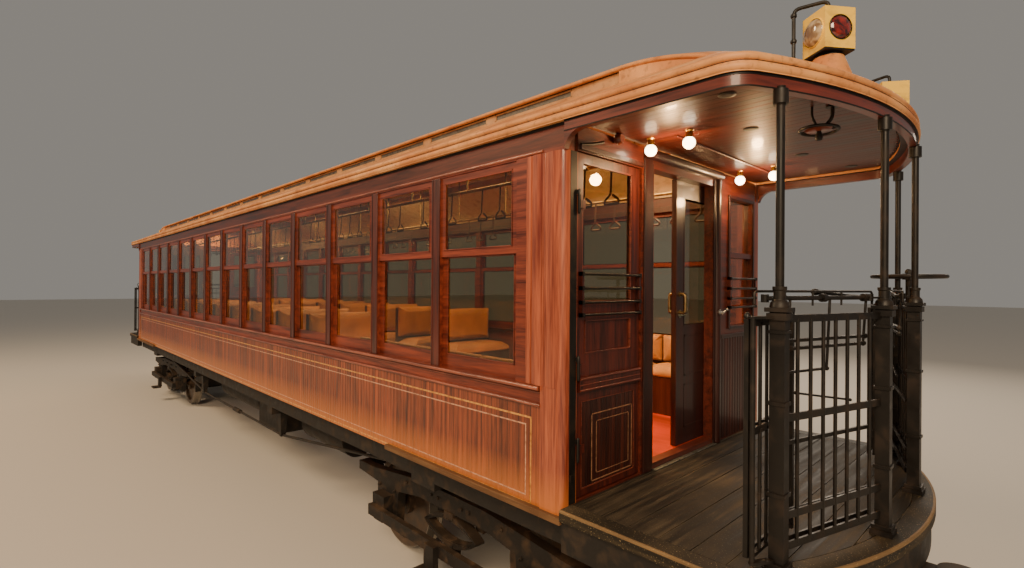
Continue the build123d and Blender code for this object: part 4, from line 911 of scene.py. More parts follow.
def bowed_path(reach: float, half_width: float, radius: float, corner: float, inset: float = 0.0,
               steps: int = 14) -> tuple[np.ndarray, np.ndarray]:
    """Plan of a platform or hood from its right side round to its left.

    A straight side, an arc of the corner's radius, the bow, and the same again mirrored. The
    corner's centre lies one corner radius inside the side and inside the bow.

    Args:
        reach: Local x of the bow's middle.
        half_width: Local y of the straight sides.
        radius: Radius of the bow.
        corner: Radius of the corners.
        inset: Distance by which the whole plan is drawn inside.
        steps: Points on each arc.

    Returns:
        Local points with z of 0, and the outward direction at each.
    """
    front, side, bow = reach - inset, half_width - inset, radius - inset
    centre_y = side - corner
    bow_x = front - bow
    centre_x = bow_x + math.sqrt((bow - corner) ** 2 - centre_y**2)
    lean = math.atan2(centre_y, centre_x - bow_x)
    corner_turn = np.linspace(math.pi / 2, lean, steps)
    bow_turn = np.linspace(lean, -lean, 2 * steps)[1:-1]
    left = np.stack([centre_x + corner * np.cos(corner_turn), centre_y + corner * np.sin(corner_turn)], -1)
    front_part = np.stack([bow_x + bow * np.cos(bow_turn), bow * np.sin(bow_turn)], -1)
    right = left[::-1] * [1, -1]
    flat = np.concatenate([[[0, side]], left, front_part, right, [[0, -side]]])
    turn = np.concatenate([[math.pi / 2], corner_turn, bow_turn, -corner_turn[::-1], [-math.pi / 2]])
    normal = np.stack([np.cos(turn), np.sin(turn), np.zeros_like(turn)], -1)
    return np.column_stack([flat, np.zeros(len(flat))])[::-1], normal[::-1]


def hood_plan(inset: float) -> tuple[np.ndarray, np.ndarray]:
    """Plan of a hood drawn inside by an inset, as its solid has it."""
    corner = max(CAR.hood_corner - inset, 0.06)
    return bowed_path(CAR.hood_reach, CAR.roof_half, CAR.hood_radius, corner, inset)


def roof_loop(inset: float, z: float) -> tuple[np.ndarray, np.ndarray]:
    """Loop round the whole carriage at the eave, following both hoods.

    Args:
        inset: Distance inside the hood's edge.
        z: Height of the loop.

    Returns:
        Points and outward directions in the carriage's frame.
    """
    plan, normal = hood_plan(inset)
    plan[:, 2] = z
    points = np.concatenate([end.place(plan) for end in ENDS])
    outward = np.concatenate([normal, normal * [-1, -1, 1]])
    return points, outward


def half_round(radius: float, steps: int = 7, back: float = 0.004) -> np.ndarray:
    """Section of a half-round bead: a half circle outward, closed behind the face it stands on.

    Args:
        radius: Radius of the half circle.
        steps: Points on it.
        back: Depth of the section behind the face.

    Returns:
        Pairs of outward and upward steps.
    """
    turn = np.linspace(-math.pi / 2, math.pi / 2, steps)
    arc = np.stack([radius * np.cos(turn), radius * np.sin(turn)], -1)
    return np.concatenate([[[-back, -radius]], arc, [[-back, radius]]])


@dataclass
class Boarding:
    """Vertical matchboarding with a bead at each joint."""

    pitch: float = 0.0475
    stand: float = 0.005
    groove: float = 0.0045
    groove_half: float = 0.004
    bead: float = 0.009

    def relief(self, low: float, high: float) -> tuple[np.ndarray, np.ndarray]:
        """Breakpoints of the boards' faces between two places.

        Every joint has a groove, then a narrow bead and a second groove: height falls to the
        groove's floor at each and is full elsewhere.

        Args:
            low: Where the boarding starts.
            high: Where it ends.

        Returns:
            Places along the boarding and the face's height at each.
        """
        joints = np.arange(math.ceil(low / self.pitch), math.floor(high / self.pitch) + 1) * self.pitch
        steps = np.array([-self.groove_half, 0, self.groove_half, self.bead, self.bead + self.groove_half,
                          self.bead + 2 * self.groove_half])
        levels = np.array([0, -self.groove, 0, 0, -self.groove * 0.7, 0]) + self.stand
        places = (joints[:, None] + steps).ravel()
        heights = np.tile(levels, len(joints))
        inside = (places > low + 1e-4) & (places < high - 1e-4)
        places = np.concatenate([[low], places[inside], [high]])
        heights = np.concatenate([[self.stand], heights[inside], [self.stand]])
        return places, heights

    def slab(self, former: Former, low: float, high: float, bottom: float, top: float,
             lift: float = 0.0, depth: float = 0.004) -> None:
        """Add a slab whose face follows the boards, in local places: along, outward, up.

        Args:
            former: Former that takes the slab.
            low: Start along the boarding.
            high: End along the boarding.
            bottom: Lower edge.
            top: Upper edge.
            lift: Distance in front of the boards' faces.
            depth: Thickness behind the face.
        """
        places, heights = self.relief(low, high)
        face = heights + lift
        rows = [(face, bottom), (face, top), (face - depth, top), (face - depth, bottom)]
        former.loft([spread(places, out, z) for out, z in rows])


@dataclass
class SideSheathing:
    """Lower side of the body: matchboarding, gold lines, belt mouldings and the rubbing ledge."""

    boarding: Boarding = field(default_factory=Boarding)
    outer_line: Box = (6.043, -0.058, 0.446, 0.011)
    inner_line: Box = (6.001, -0.012, 0.4, 0.008)
    ledge_length: float = 1.8

    def on_side(self, former: Former, side: int) -> Former:
        """Turn along, outward, up into the frame of one side wall.

        Args:
            former: Former whose points are turned.
            side: 1 on the left, -1 on the right.

        Returns:
            The same former.
        """
        former.points = [
            spread(along, side * (CAR.half_width + out), up)
            for along, out, up in (np.moveaxis(part, -1, 0) for part in former.points)
        ]
        return former

    def build(self) -> None:
        """Make the pieces of both sides."""
        for name, side in SIDES.items():
            boards = Former()
            self.boarding.slab(boards, -CAR.side_reach, CAR.side_reach, CAR.sill, CAR.belt_bottom)
            self.on_side(boards, side).finish(f"boarding_{name}", BOARDED, smooth=20)
            self.lines(name, side)
            self.mouldings(name, side)
            self.corner_boards(name, side)

    def lines(self, name: str, side: int) -> None:
        """Make the two gold lines of a side, each a frame that follows the boards.

        Args:
            name: Name of the side.
            side: 1 on the left, -1 on the right.
        """
        for label, (reach, low, high, width), finish in (
            ("outer", self.outer_line, GOLD),
            ("inner", self.inner_line, ROSE_GOLD),
        ):
            frame = Former()
            bottom, top = CAR.floor + low, CAR.floor + high
            for z in (bottom, top - width):
                self.boarding.slab(frame, -reach, reach, z, z + width, 0.0007, 0.0012)
            for x in (-reach, reach - width):
                self.boarding.slab(frame, x, x + width, bottom + width, top - width, 0.0007, 0.0012)
            self.on_side(frame, side).finish(f"gold_line_{label}_{name}", finish, smooth=20)

    def mouldings(self, name: str, side: int) -> None:
        """Make the rounded belt nosing, the beads under it and the rubbing ledge.

        Args:
            name: Name of the side.
            side: 1 on the left, -1 on the right.
        """
        trim = Former()
        for z, out, radius in (
            (CAR.belt - 0.0125, 0.025, 0.0125),
            (CAR.belt_bottom + 0.011, 0.012, 0.01),
            (CAR.belt_bottom + 0.082, 0.0, 0.008),
            (CAR.head + 0.016, 0.0, 0.009),
        ):
            path = [[x, side * (CAR.half_width + out), z] for x in (-CAR.side_reach, CAR.side_reach)]
            trim.moulding(path, (0, side, 0), half_round(radius))
        # The beads take a lighter varnish as a painted highlight.
        trim.finish(f"belt_beads_{name}", MOULDING_HIGHLIGHT)
        ledge = Former()
        for start, stop in ((CAR.half_length - self.ledge_length, CAR.half_length),
                            (-CAR.half_length, self.ledge_length - CAR.half_length)):
            ledge.blocks([start, side * CAR.half_width, CAR.sill - 0.012],
                         [stop, side * (CAR.half_width + 0.038), CAR.sill + 0.026])
        ledge.finish(f"rubbing_ledge_{name}", LEDGE_WOOD, "deck_planks", bevel=0.004)

    def corner_boards(self, name: str, side: int) -> None:
        """Make the fluted boards above the belt by each corner and the smooth ones below it.

        A fluted board's face is given by breakpoints: distance in from the bulkhead, and how far
        the face stands out of the side wall there. A curved part rises as a half sine.

        Args:
            name: Name of the side.
            side: 1 on the left, -1 on the right.
        """
        swell = np.linspace(0, math.pi, 9)
        wide = np.column_stack([np.linspace(-0.236, -0.164, 9), 0.0145 + 0.0065 * np.sin(swell)])
        narrow = np.column_stack([np.linspace(-0.122, -0.046, 9), 0.013 + 0.006 * np.sin(swell)])
        plain = np.array([[-0.285, 0.013], [-0.25, 0.013], [-0.248, 0.007], [-0.238, 0.007]])
        smooth = np.array([[-0.168, 0.0135], [-0.046, 0.0135]])
        boards = Former()
        for face, low, high in (
            (np.concatenate([plain, wide]), CAR.belt + 0.002, CAR.head),
            (narrow, CAR.belt + 0.002, CAR.head),
            (smooth, CAR.sill, CAR.belt + 0.001),
        ):
            for sign in (1, -1):
                x = sign * (CAR.half_length + face[:, 0])
                rows = [(face[:, 1], low), (face[:, 1], high), (0, high), (0, low)]
                boards.loft([spread(x, out, z) for out, z in rows])
        self.on_side(boards, side).finish(f"corner_boards_{name}", STANDING, smooth=30)


@dataclass
class Windows:
    """Sashes' beads, the posts' edges and the lights in the clerestory."""

    bead: float = 0.009
    meeting: float = 2.635
    stile: float = 0.042

    def build(self) -> None:
        """Make the pieces of both sides."""
        places = CAR.window_places()
        sashes = (
            (CAR.belt + 0.0855, self.meeting - 0.021, CAR.inner + 0.038),
            (self.meeting + 0.021, CAR.head - 0.0425, CAR.inner + 0.062),
        )
        half = CAR.window_width / 2 - 0.0005 - self.stile
        for name, side in SIDES.items():
            beads = Former()
            for low, high, face in sashes:
                for x0, x1, z0, z1 in border(-half, half, low, high, self.bead):
                    beads.blocks(spread(places + x0, side * (face - 0.007), z0),
                                 spread(places + x1, side * (face + 0.002), z1))
            beads.finish(f"sash_beads_{name}", SHEETED, bevel=0.0015)
            self.deck_lights(name, side, places)
            self.post_edges(name, side)

    def post_edges(self, name: str, side: int) -> None:
        """Make each post's face board and the narrow fillets on its two edges.

        Args:
            name: Name of the side.
            side: 1 on the left, -1 on the right.
        """
        posts = (np.arange(CAR.windows + 1) - CAR.windows / 2) * CAR.pitch
        inside = posts[1:-1]
        strips = Former()
        half = (CAR.pitch - CAR.window_width) / 2
        fillet = 0.012
        for shift, width, stand in (
            (-half, 2 * half, 0.005),
            (-half, fillet, 0.009),
            (half - fillet, fillet, 0.009),
        ):
            lows = spread(inside + shift, side * CAR.half_width, CAR.belt + 0.001)
            highs = lows + [width, side * stand, CAR.head - CAR.belt]
            strips.blocks(lows, highs)
        strips.finish(f"post_boards_{name}", POST_WOOD, bevel=0.002)

    def deck_lights(self, name: str, side: int, places: np.ndarray) -> None:
        """Make the clerestory's dark panes and the frame of each.

        Args:
            name: Name of the side.
            side: 1 on the left, -1 on the right.
            places: X of the middle of each window.
        """
        low, high = CAR.deck + 0.01, CAR.deck_top - 0.01
        half = CAR.window_width / 2
        panes = Former()
        panes.blocks(spread(places - half, side * (CAR.deck_half - 0.014), low),
                     spread(places + half, side * (CAR.deck_half - 0.008), high))
        panes.finish(f"deck_panes_{name}", DECK_GLASS, "glass")
        bars = Former()
        for x0, x1, z0, z1 in border(-half, half, low, high, 0.008, 0.012):
            bars.blocks(spread(places + x0, side * (CAR.deck_half - 0.01), z0),
                        spread(places + x1, side * (CAR.deck_half - 0.001), z1))
        bars.finish(f"deck_light_bars_{name}", DECK_SIDE, "canvas", bevel=0.001)


@dataclass
class RoofTrim:
    """Rolls of canvas round the eave, black strips of painted shadow in the crevices by them, and the upper
    deck's beads.
    """

    turn_z: float = 2.08
    turn_radius: float = 1.649
    bead_end: float = 0.62

    def build(self) -> None:
        """Make the rolls, the black strips of painted shadow and the upper beads."""
        rolls = Former()
        for inset, z, radius, back in (
            (0.012, CAR.eave + 0.022, 0.021, 0.012),
            (0.014, CAR.fascia_top + 0.02, 0.019, 0.045),
        ):
            points, outward = roof_loop(inset, z)
            rolls.moulding(points, outward, half_round(radius, 9, back), True)
        rolls.finish("eave_rolls", ROOF, "canvas", 60)
        # Thin black strips between the rolls, under the eave along the sides and at the valance's top and
        # bottom: painted shadow of the crevices there.
        joints = Former()
        points, outward = roof_loop(0.012, CAR.fascia_top - 0.0005)
        joints.moulding(points, outward, self.strip(0.013, 0.0014), True)
        for side in SIDES.values():
            path = [[x, side * CAR.half_width, CAR.eave - 0.008] for x in (-CAR.half_length, CAR.half_length)]
            joints.moulding(path, (0, side, 0), self.strip(0.004, 0.008))
        plan, normal = hood_plan(CAR.valance_inset)
        for end in ENDS:
            outward = normal * [end.sign, end.sign, 1]
            for z, half in ((CAR.eave - 0.0045, 0.0045), (CAR.eave - 0.0565, 0.003)):
                joints.moulding(end.place(plan + [0, 0, z]), outward, self.strip(0.0025, half))
        joints.finish("eave_joints", SHADOW_BLACK)
        self.upper_beads()

    def strip(self, out: float, half: float) -> list[Pair]:
        """Section of a flat strip that stands out of the face behind it."""
        return [(-0.002, -half), (out, -half), (out, half), (-0.002, half)]

    def upper_beads(self) -> None:
        """Make the bead along each edge of the upper deck and down over both bullnoses.

        Over a bullnose the edge turns about a level axis: its height above the axis is the square
        root of what the run leaves of the radius.
        """
        x = np.linspace(0.0, self.bead_end, 22)
        z = self.turn_z + np.sqrt(self.turn_radius**2 - x**2)
        beads = Former()
        for side in SIDES.values():
            local = spread(x, side * CAR.upper_half, z)
            front = FRONT.place(local)
            rear = REAR.place(local * [1, -1, 1])
            beads.tube(np.concatenate([front[::-1], rear]), 0.014, 8)
        beads.finish("upper_deck_beads", ROOF, "canvas", 60)
        # Thin black strips along the top of the clerestory's sides: painted shadow under the upper deck's
        # edge.
        lines = Former()
        for side in SIDES.values():
            face = side * (CAR.deck_half + 0.001)
            lines.blocks([-CAR.half_length, side * CAR.deck_half, CAR.deck_top - 0.007],
                         [CAR.half_length, face, CAR.deck_top - 0.001])
        lines.finish("upper_deck_joints", SHADOW_BLACK, "canvas")


class EndPart:
    """A part that both ends have alike. Each kind of part says in make what it makes at an end."""

    def build(self) -> None:
        """Make it at both ends."""
        for end in ENDS:
            self.make(end)

    def make(self, end: End) -> None:
        """Make it at one end.

        Args:
            end: The end that it is made at.
        """
        raise NotImplementedError


@dataclass
class HoodCeiling(EndPart):
    """What hangs under a hood: boards, conduit, vents and the bell ring with its bracket."""

    board: float = 0.062
    gap: float = 0.0005
    rim: float = 0.094
    ring: Pair = (1.0, -0.53)

    def outline_reach(self, y: np.ndarray, inset: float) -> np.ndarray:
        """Local x of the hood's edge at each y, from its plan.

        Args:
            y: Local y.
            inset: Distance inside the hood's edge.

        Returns:
            Local x at each y.
        """
        plan, _ = hood_plan(inset)
        order = plan[1:-1]
        return np.interp(y, order[:, 1], order[:, 0])

    def make(self, end: End) -> None:
        """Make the ceiling's boards and fittings."""
        boards = Former()
        half = CAR.roof_half - self.rim
        count = int(2 * half / self.board)
        y = (np.arange(count) - (count - 1) / 2) * self.board
        edge = np.abs(y) + self.board / 2
        reach = self.outline_reach(-np.minimum(edge, half), self.rim) - 0.002
        z = CAR.eave + 0.02
        half_board = (self.board - self.gap) / 2
        boards.blocks(spread(0.001, y - half_board, z - 0.008), spread(reach, y + half_board, z - 0.0005))
        boards.at_end(end, "hood_boards", CEILING_WOOD, bevel=0.001)
        self.fittings(end)

    def fittings(self, end: End) -> None:
        """Make the conduit, the round vent rims, the bell ring, an ellipse, and its bracket.

        Args:
            end: The end that they hang at.
        """
        z = CAR.eave + 0.012
        pipes = Former()
        pipes.tube([[0.26, -0.6, z - 0.004], [0.26, 0.9, z - 0.004]], 0.008)
        for side in (-1, 1):
            pipes.turned([(0, -0.03), (0.02, -0.026), (0.032, -0.01), (0.034, 0.008), (0.024, 0.026),
                          (0, 0.028)], (0.03, side * 0.86, z - 0.03), (1, 0, 0), 18)
        x, y = self.ring
        pipes.turned([(0, -0.006), (0.056, -0.006), (0.066, 0.001), (0.056, 0.008), (0, 0.008)],
                     (x, y, z - 0.11), sides=28)
        # The conduit and ring dish take the lighter moulding tone, partly a painted highlight.
        pipes.at_end(end, "ceiling_conduit", DOOR_MOULDING_HIGHLIGHT)
        iron = Former()
        turn = np.linspace(0, 2 * math.pi, 32, endpoint=False)
        hoop = spread(x + 0.085 * np.cos(turn), y + 0.1 * np.sin(turn), z - 0.11)
        iron.tube(hoop, 0.0075, 8, True)
        iron.tube([[x - 0.085, y, z - 0.11], [x + 0.085, y, z - 0.11]], 0.006, 8)
        iron.tube(rounded([[x + 0.06, y, z], [x + 0.06, y, z - 0.06], [x + 0.02, y, z - 0.105]], 0.02), 0.009)
        iron.tube(rounded([[x - 0.02, y - 0.04, z], [x - 0.02, y - 0.04, z - 0.05], [x, y - 0.01, z - 0.105]],
                          0.02), 0.006)
        iron.turned([(0, 0), (0.014, 0.004), (0.018, 0.02), (0.01, 0.048), (0.01, 0.06), (0, 0.06)],
                    (x, y, z - 0.165))
        iron.turned([(0, 0), (0.03, 0), (0.03, 0.006), (0.012, 0.01), (0, 0.01)], (x + 0.06, y, z - 0.01))
        iron.tube(rounded([[0.012, -1.19, z - 0.12], [0.02, -1.1, z - 0.105], [0.03, -1.01, z - 0.078]],
                          0.05), 0.009)
        for x, y in ((0.62, 0.42), (0.62, -0.42), (0.76, -1.04), (0.76, 1.04)):
            iron.turned([(0.024, 0), (0.04, 0.003), (0.044, 0.012), (0.022, 0.012), (0.024, 0)],
                        (x, y, z - 0.006))
        iron.at_end(end, "ceiling_iron", IRON, "black_iron")


def guard_rods(iron: Former, face: float, ends: Pair, feet: Pair) -> None:
    """Add the four rods that guard a window, each with a foot near both its ends.

    Args:
        iron: Former that takes them, in local places lifted to the floor.
        face: Local x of the wood behind them.
        ends: Local y of the rods' ends.
        feet: Local y of the feet.
    """
    for z in CAR.guards:
        iron.tube([[face + 0.028, y, z] for y in ends], 0.0078, 10)
        for y in feet:
            iron.blocks([face, y - 0.008, z - 0.012], [face + 0.0365, y + 0.008, z + 0.012])


@dataclass
class BulkheadTrim(EndPart):
    """Jambs beside the doorway, its rolled head, window mouldings, guard rods and matchboarding."""

    boarding: Boarding = field(default_factory=lambda: Boarding(stand=0.004, groove=0.003))

    def make(self, end: End) -> None:
        """Make the trim of one bulkhead."""
        trim = Former(CAR.floor)
        trim.tube([[0.01, -0.545, 2.045], [0.01, 0.53, 2.045]], 0.034, 14)
        trim.tube([[0, 0.482, 0.002], [0, 0.482, 2.015]], 0.034, 16)
        for y0, y1, z0, z1, out in (
            (-0.545, -0.452, 0.002, 2.01, 0.012),
            (0.424, 0.54, 0.002, 2.01, 0.01),
            (0.675, 0.7, 0.86, 1.925, 0.014),
            (1.14, 1.165, 0.86, 1.925, 0.014),
            (0.7, 1.14, 1.9, 1.925, 0.014),
            (0.7, 1.14, 0.855, 0.88, 0.014),
            (0.545, 1.195, 0.79, 0.82, 0.014),
            (-1.19, -0.565, 1.945, 1.975, 0.02),
        ):
            trim.blocks([0, y0, z0], [out, y1, z1])
        trim.at_end(end, "bulkhead_trim", DARK_WOOD, bevel=0.003)
        iron = Former(CAR.floor)
        # Thin black plate between the corner board and the cab door: painted shadow of the gap between them.
        iron.blocks([0, -1.262, 0.001], [0.0015, -1.206, CAR.head - CAR.floor])
        iron.blocks([0.001, -1.262, 0.13], [0.016, -1.244, 0.165])
        iron.blocks([0, -0.45, 0.002], [0.006, -0.436, 1.985])
        for z in CAR.hinges:
            low = z + 0.0463
            iron.turned([(0, 0), (0.0092, 0), (0.0092, 0.024), (0.006, 0.03), (0, 0.031)],
                        (0.0084, -1.196, low), sides=14)
            iron.blocks([0.0005, -1.2168, low - 0.0003], [0.0098, -1.1955, low + 0.0245])
        guard_rods(iron, 0.0, (0.668, 1.172), (0.678, 1.162))
        iron.at_end(end, "bulkhead_irons", IRON, "black_iron", bevel=0.0006)
        steel = Former(CAR.floor)
        steel.turned([(0.02, 0), (0.02, 0.004), (0, 0.006)], (0.033, 0.47, 1.003), (1, 0, 0))
        steel.tube(rounded([[0.033, 0.47, 1.003], [0.062, 0.466, 1.003],
                            [0.066, 0.38, 1.005]], 0.01), 0.0075, 10)
        steel.tube([[0.05, 0.47, 0.985], [0.075, 0.495, 1.02]], 0.007, 8)
        steel.turned([(0, -0.014), (0.012, -0.008), (0.012, 0.008), (0, 0.014)],
                     (0.075, 0.495, 1.02), (1, 1, 0), 12)
        steel.at_end(end, "latch_lever", BRIGHT_METAL, "black_iron")
        boards = Former(CAR.floor)
        self.boarding.slab(boards, 0.545, 1.195, 0.01, 0.79)
        boards.points = [part[..., [1, 0, 2]] for part in boards.points]
        boards.at_end(end, "bulkhead_boards", END_BOARDED, smooth=20)


@dataclass
class CabDoorTrim(EndPart):
    """Cab door: matchboarded lower panel, lines, mouldings in a lighter tone as painted highlight, guard rods
    and hinges.
    """

    boarding: Boarding = field(default_factory=lambda: Boarding(stand=0.0, groove=0.002))
    face: float = -0.015
    recess: float = 0.01
    panel: Box = (-1.115, -0.66, 0.81, 1.0)
    lower: Box = (-1.135, -0.625, 0.06, 0.54)
    window: Box = (-1.14, -0.65, 1.1, 1.89)
    ledge: Triple = (0.6, 0.68, 0.022)

    def frame(self, former: Former, place: Box, width: float, back: float, front: float) -> None:
        """Add four straight members round a rectangle, inside its edges."""
        for a0, a1, b0, b1 in border(*place, width):
            former.blocks([back, a0, b0], [front, a1, b1])

    def make(self, end: End) -> None:
        """Make the trim of one cab door."""
        body = f"cab_door_{end.name}"
        self.boards(end, body)
        self.mouldings(end, body)
        self.irons(end, body)

    def boards(self, end: End, body: str) -> None:
        """Make the boarded lower panel and the two lines on it.

        Args:
            end: The door's end.
            body: The door's body.
        """
        boards = Former(CAR.floor)
        y0, y1, z0, z1 = self.lower
        self.boarding.slab(boards, y0 + 0.001, y1 - 0.001, z0 + 0.001, z1 - 0.001, 0.0, 0.006)
        boards.points = [
            spread(self.face - 0.002 + part[..., 1], part[..., 0], part[..., 2]) for part in boards.points
        ]
        boards.at_end(end, "cab_door_boards", END_BOARDED, smooth=20, body=body)
        lines = Former(CAR.floor)
        for place, width in (
            ((-1.043, -0.636, 0.072, 0.462), 0.0065),
            ((-0.999, -0.672, 0.112, 0.416), 0.0045),
        ):
            self.frame(lines, place, width, self.face - 0.0025, self.face - 0.0008)
        lines.at_end(end, "cab_door_lines", DULL_GOLD, body=body)

    def mouldings(self, end: End, body: str) -> None:
        """Make the window's beads, the panel's frame and the ledge's edges, all in a lighter tone as painted
        highlight.

        Args:
            end: The door's end.
            body: The door's body.
        """
        trim = Former(CAR.floor)
        self.frame(trim, self.window, 0.01, self.face - 0.016, self.face - 0.002)
        self.frame(trim, self.panel, 0.008, self.face - self.recess, self.face + 0.003)
        rim = 0.006
        y0, y1, z0, z1 = self.lower
        self.frame(trim, (y0 - rim, y1 + rim, z0 - rim, z1 + rim), rim, self.face - 0.001, self.face + 0.003)
        low, high, proud = self.ledge
        for z, radius in ((high - 0.006, 0.008), (low + 0.01, 0.006), (low + 0.04, 0.004)):
            trim.tube([[self.face + proud, -1.176, z], [self.face + proud, -0.582, z]],
                      radius, 10)
        trim.at_end(end, "cab_door_beads", DOOR_MOULDING_HIGHLIGHT, bevel=0.0015, body=body)

    def irons(self, end: End, body: str) -> None:
        """Make the hinges and the black guard rods.

        Args:
            end: The door's end.
            body: The door's body.
        """
        irons = Former(CAR.floor)
        for z in CAR.hinges:
            irons.turned([(0, -0.062), (0.006, -0.06), (0.0095, -0.046), (0.0095, 0.046), (0, 0.046)],
                         (0.0084, -1.196, z), sides=14)
            irons.blocks([self.face, -1.19, z - 0.026], [self.face + 0.0072, -1.15, z + 0.026])
        guard_rods(irons, self.face, (-1.168, -0.591), (-1.162, -0.597))
        irons.at_end(end, "cab_door_irons", IRON, "black_iron", bevel=0.0008, body=body)


@dataclass
class EndDoorTrim(EndPart):
    """Sliding end door: brass pulls, the latch's lever, and beads round its window and panels."""

    face: float = -0.075

    def make(self, end: End) -> None:
        """Make the trim of one end door."""
        body = f"end_door_{end.name}"
        brass = Former(CAR.floor)
        y = 0.062
        for face, out in ((self.face, 1), (self.face - 0.04, -1)):
            path = rounded([[face, y, 1.003], [face + out * 0.042, y, 1.003],
                            [face + out * 0.042, y, 1.137], [face, y, 1.137]], 0.02)
            brass.tube(path, 0.0118, 12)
            for z in (1.003, 1.137):
                brass.turned([(0.022, 0), (0.022, 0.003), (0.012, 0.006), (0, 0.006)],
                             (face, y, z), (out, 0, 0), 14)
        brass.at_end(end, "end_door_pull", DULL_BRASS, "bulbs", body=body)
        steel = Former(CAR.floor)
        steel.tube(rounded([[self.face, 0.06, 0.985], [self.face + 0.022, 0.06, 0.985],
                            [self.face + 0.024, 0.1, 0.988]], 0.01), 0.007)
        steel.turned([(0.02, 0), (0.02, 0.004), (0, 0.006)], (self.face, 0.06, 0.985), (1, 0, 0))
        steel.at_end(end, "end_door_lever", STEEL, "black_iron", body=body)
        trim = Former(CAR.floor)
        for face in (self.face - 0.001, self.face - 0.041):
            for y0, y1, z0, z1 in (
                (0.115, 0.785, 0.9, 0.912),
                (0.115, 0.785, 1.838, 1.85),
                (0.115, 0.127, 0.912, 1.838),
                (0.773, 0.785, 0.912, 1.838),
                *border(0.125, 0.775, 0.16, 0.48, 0.014),
                *border(0.125, 0.775, 0.54, 0.84, 0.014),
            ):
                trim.blocks([face - 0.004, y0, z0], [face + 0.0028, y1, z1])
        trim.at_end(end, "end_door_beads", DARK_WOOD, bevel=0.0012, body=body)


@dataclass
class PlatformDeck(EndPart):
    """Planked floor of a platform with its gritted rim, pale seams and threshold."""

    first: float = 0.035
    plank: float = 0.1645
    seam: float = 0.005
    rim: float = 0.105
    thickness: float = 0.04

    def half_at(self, x: np.ndarray, inset: float) -> np.ndarray:
        """Half width of the platform's plan, drawn inside by an inset, at each local x.

        Args:
            x: Local x.
            inset: Distance inside the plan's edge.

        Returns:
            Half width at each x.
        """
        plan, _ = bowed_path(CAR.platform_reach, CAR.platform_half, CAR.platform_radius,
                             CAR.platform_corner - inset, inset)
        half = plan[plan[:, 1] >= 0]
        order = np.argsort(half[:, 0])
        return np.interp(x, half[order, 0], half[order, 1])

    def sheet(self, former: Former, start: float, stop: float, inset: float, low: float, high: float) -> None:
        """Add a level board whose two ends follow the plan.

        Args:
            former: Former that takes it.
            start: Local x of its inner edge.
            stop: Local x of its outer edge.
            inset: Distance of its ends inside the plan's edge.
            low: Height of its lower face.
            high: Height of its upper face.
        """
        x = np.linspace(start, stop, 12)
        half = np.maximum(self.half_at(x, inset), 0.01)
        former.loft([spread(x, side * half, z) for side, z in ((-1, high), (1, high), (1, low), (-1, low))])

    def make(self, end: End) -> None:
        """Make the planks, the seams, the rim and the threshold of one platform."""
        floor, last = CAR.floor, CAR.platform_reach - self.rim - 0.003
        seams = np.arange(self.first, last, self.plank)
        edges = np.concatenate([[0.0005], seams, [last]])
        planks = Former()
        for start, stop in zip(edges[:-1], edges[1:]):
            self.sheet(planks, start, stop - self.seam, self.rim + 0.003, floor - self.thickness, floor)
        piece = planks.at_end(end, "platform_planks", PLANKS, "deck_planks", bevel=0.0012)
        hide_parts(f"platform_{end.name}")
        under = Former()
        self.sheet(under, 0.002, last, self.rim + 0.001, floor - 0.0595, floor - 0.004)
        under.at_end(end, "platform_seams", SEAMS, "deck_planks")
        edge = Former()
        outer, normal = bowed_path(CAR.platform_reach, CAR.platform_half, CAR.platform_radius,
                                   CAR.platform_corner)
        outer[:, 2] = floor
        edge.moulding(outer, normal, [(-self.rim, -0.06), (0, -0.06), (0, -0.014), (-0.012, -0.014),
                                      (-0.012, 0), (-self.rim, 0.0)])
        edge.at_end(end, "platform_rim", EDGE_GRIT, "deck_planks")
        nose = Former()
        nose.moulding(outer, normal, [(-0.012, -0.014), (0, -0.014), (0, -0.004), (-0.004, 0),
                                      (-0.012, 0)])
        nose.at_end(end, "platform_nosing", NOSING, "deck_planks")
        iron = Former()
        iron.blocks([0.001, -0.43, floor + 0.0005], [0.034, 0.43, floor + 0.006])
        iron.at_end(end, "threshold_plate", STEEL, "black_iron", bevel=0.002)


